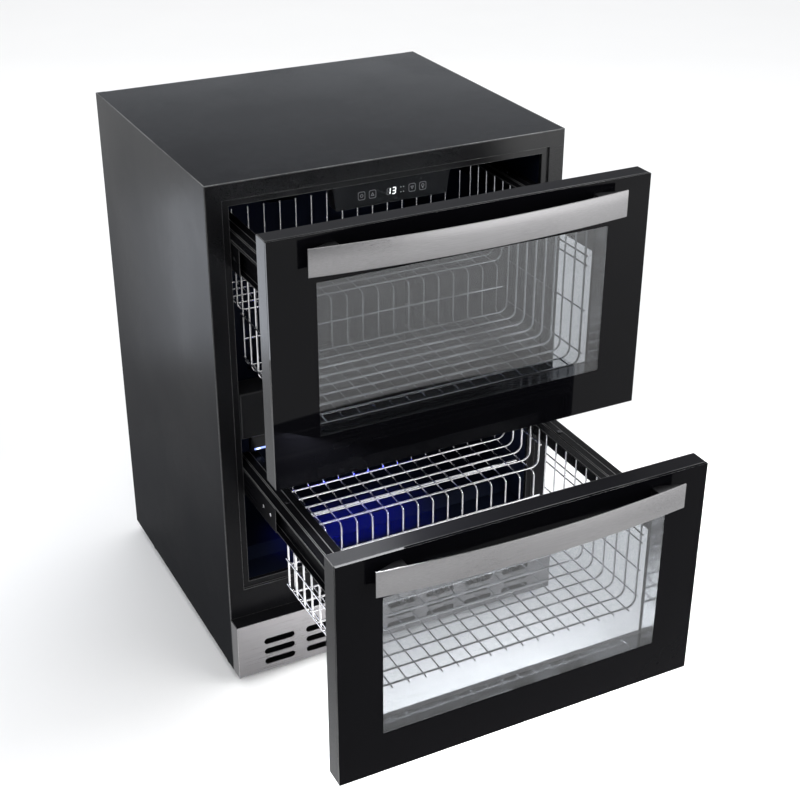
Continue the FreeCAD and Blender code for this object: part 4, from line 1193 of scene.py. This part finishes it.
@dataclass(frozen=True)
class Lamp:
    """A rectangular lamp: where it hangs, the point that it faces, its size, watts, colour and cone."""

    name: str
    place: Place
    target: Place
    size: Point
    power: float
    colour: Colour = (1.0, 1.0, 1.0)
    spread: float = 180.0

    def build(self) -> None:
        """Hangs the lamp."""
        data = bpy.data.lights.new(self.name, "AREA")
        data.shape, data.size, data.size_y = "RECTANGLE", *self.size
        data.energy, data.color, data.spread = self.power, self.colour, math.radians(self.spread)
        made = bpy.data.objects.new(self.name, data)
        made.location = self.place
        made.visible_camera = False
        made.visible_transmission = False
        aim = Vector(self.target) - Vector(self.place)
        made.rotation_mode = "QUATERNION"
        made.rotation_quaternion = aim.to_track_quat("-Z", "Y")
        bpy.context.scene.collection.objects.link(made)


LAMPS = (
    Lamp("overhead_light", (0.5, 1.5, 5.5), (0.5, 1.5, 0.0), (13.0, 13.0), 720.0),
    Lamp("low_side_light", (-0.85, 0.80, 0.30), (-0.3, -0.1, 0.75), (0.7, 0.35), 2.1, (0.83, 0.89, 1.0)),
    Lamp("front_light", (1.6, -2.4, 0.9), (0.1, -0.3, 0.0), (2.0, 1.2), 22.0),
    Lamp("front_fill", (-0.9, -1.7, 1.2), (-0.7, -1.2, 0.0), (0.8, 0.8), 1.0, spread=110.0),
    Lamp("under_light", (0.05, -0.30, 0.19), (0.05, -0.29, 0.0), (0.50, 0.20), 2.8),
    Lamp("right_light", (1.20, -0.05, 0.30), (0.35, -0.05, 0.0), (0.5, 0.2), 3.0, spread=80.0),
    Lamp("rear_light", (1.4, 3.2, 1.50), (0.0, 0.3, 0.86), (2.4, 0.5), 10.0, (0.90, 0.94, 1.0)),
    Lamp("ledge_light", (-0.21, -0.286, 0.59), (-0.26, -0.46, 0.47), (0.15, 0.06), 1.3, (0.95, 0.97, 1.0)),
    Lamp("cabinet_glow", (-0.04, 0.012, 0.397), (-0.04, 0.04, 0.19), (0.20, 0.012), 0.32,
         (0.02, 0.03, 1.0), 45.0),
)


@dataclass
class Studio:
    """Pale floor, soft light and the camera."""

    eye: Place = (-0.9333, -1.8812, 1.5562)
    azimuth: float = -27.02
    elevation: float = 28.01
    roll: float = 0.15
    lens: float = 66.01
    sensor: float = 36.0
    floor_reach: float = 14.0
    floor_grain: float = 3.0
    floor_tones: Point = (0.88, 0.90)
    floor_roughness: float = 0.9
    sky_colour: Colour = (0.95, 0.97, 1.0)
    sky_strength: float = 0.30

    def build(self) -> None:
        """Sets the whole studio up."""
        self.camera()
        self.floor()
        self.sky()
        for lamp in LAMPS:
            lamp.build()

    def camera(self) -> None:
        """The camera at the photograph's place."""
        data = bpy.data.cameras.new("camera")
        data.lens, data.sensor_width = self.lens, self.sensor
        made = bpy.data.objects.new("camera", data)
        turn = (Matrix.Rotation(math.radians(self.azimuth), 4, "Z")
                @ Matrix.Rotation(math.radians(90 - self.elevation), 4, "X")
                @ Matrix.Rotation(math.radians(self.roll), 4, "Z"))
        made.matrix_world = Matrix.Translation(self.eye) @ turn
        bpy.context.scene.collection.objects.link(made)
        bpy.context.scene.camera = made

    def floor(self) -> None:
        """A wide pale floor."""
        bm = bmesh.new()
        bmesh.ops.create_grid(bm, x_segments=2, y_segments=2, size=self.floor_reach)
        mesh = as_mesh(bm)
        material = bpy.data.materials.new("floor_paper")
        material.use_nodes = True
        tree = material.node_tree
        place = add_node(tree, "ShaderNodeTexCoord").outputs["Object"]
        noise = add_node(tree, "ShaderNodeTexNoise", {"Vector": place, "Scale": self.floor_grain}).outputs[0]
        dark, pale = ((tone, tone, tone, 1.0) for tone in self.floor_tones)
        shader = tree.nodes["Principled BSDF"]
        shader.inputs["Roughness"].default_value = self.floor_roughness
        tree.links.new(mixed(tree, noise, dark, pale), shader.inputs["Base Color"])
        mesh.materials.append(material)
        made = bpy.data.objects.new("floor", mesh)
        bpy.context.scene.collection.objects.link(made)

    def sky(self) -> None:
        """Even pale light from all round."""
        world = bpy.data.worlds.new("studio")
        world.use_nodes = True
        back = world.node_tree.nodes["Background"]
        back.inputs["Color"].default_value = (*self.sky_colour, 1.0)
        back.inputs["Strength"].default_value = self.sky_strength
        bpy.context.scene.world = world
        bpy.context.scene.view_settings.view_transform = "Standard"


def dress_solids() -> None:
    """Gives every solid of the frame its slot's finish, and the base behind the kick plate painted shade."""
    painted_shade_finishes = {"base_pan": "base_coat", "machine_deck": "base_coat"}
    for entry in frame["record"]["subparts"]:
        solid = frame["nodes"][entry["node"]]
        finish = painted_shade_finishes.get(entry["node"], entry["material_slot"])
        solid.data.materials.clear()
        solid.data.materials.append(FINISHES[finish].material())


def main() -> None:
    """Builds the refrigerator's looks, sub-assembly by sub-assembly."""
    logging.basicConfig(level=logging.INFO, format="%(name)s: %(message)s")
    Studio().build()
    dress_solids()
    Cabinet().build()
    Controls().build()
    CabinetLight().build()
    baskets = {
        "upper": WireBasket("upper", hang=770 * MM, front=-199.5 * MM, step=28.5 * MM, rear=156.5 * MM,
                            deep=545 * MM, raised=629 * MM, wall_top=747 * MM),
        "lower": WireBasket("lower", hang=390.5 * MM, front=-392.5 * MM, step=-116.5 * MM, rear=15.5 * MM,
                            deep=213.5 * MM, raised=309.5 * MM, wall_top=321.5 * MM),
    }
    # the upper front wears the brighter copy of the black glass, a painted reflection
    panes = {"upper": "upper_glass", "lower": "black_glass"}
    for drawer, basket in baskets.items():
        DrawerFront(drawer, panes[drawer]).build()
        basket.build()


if __name__ == "__main__":
    main()
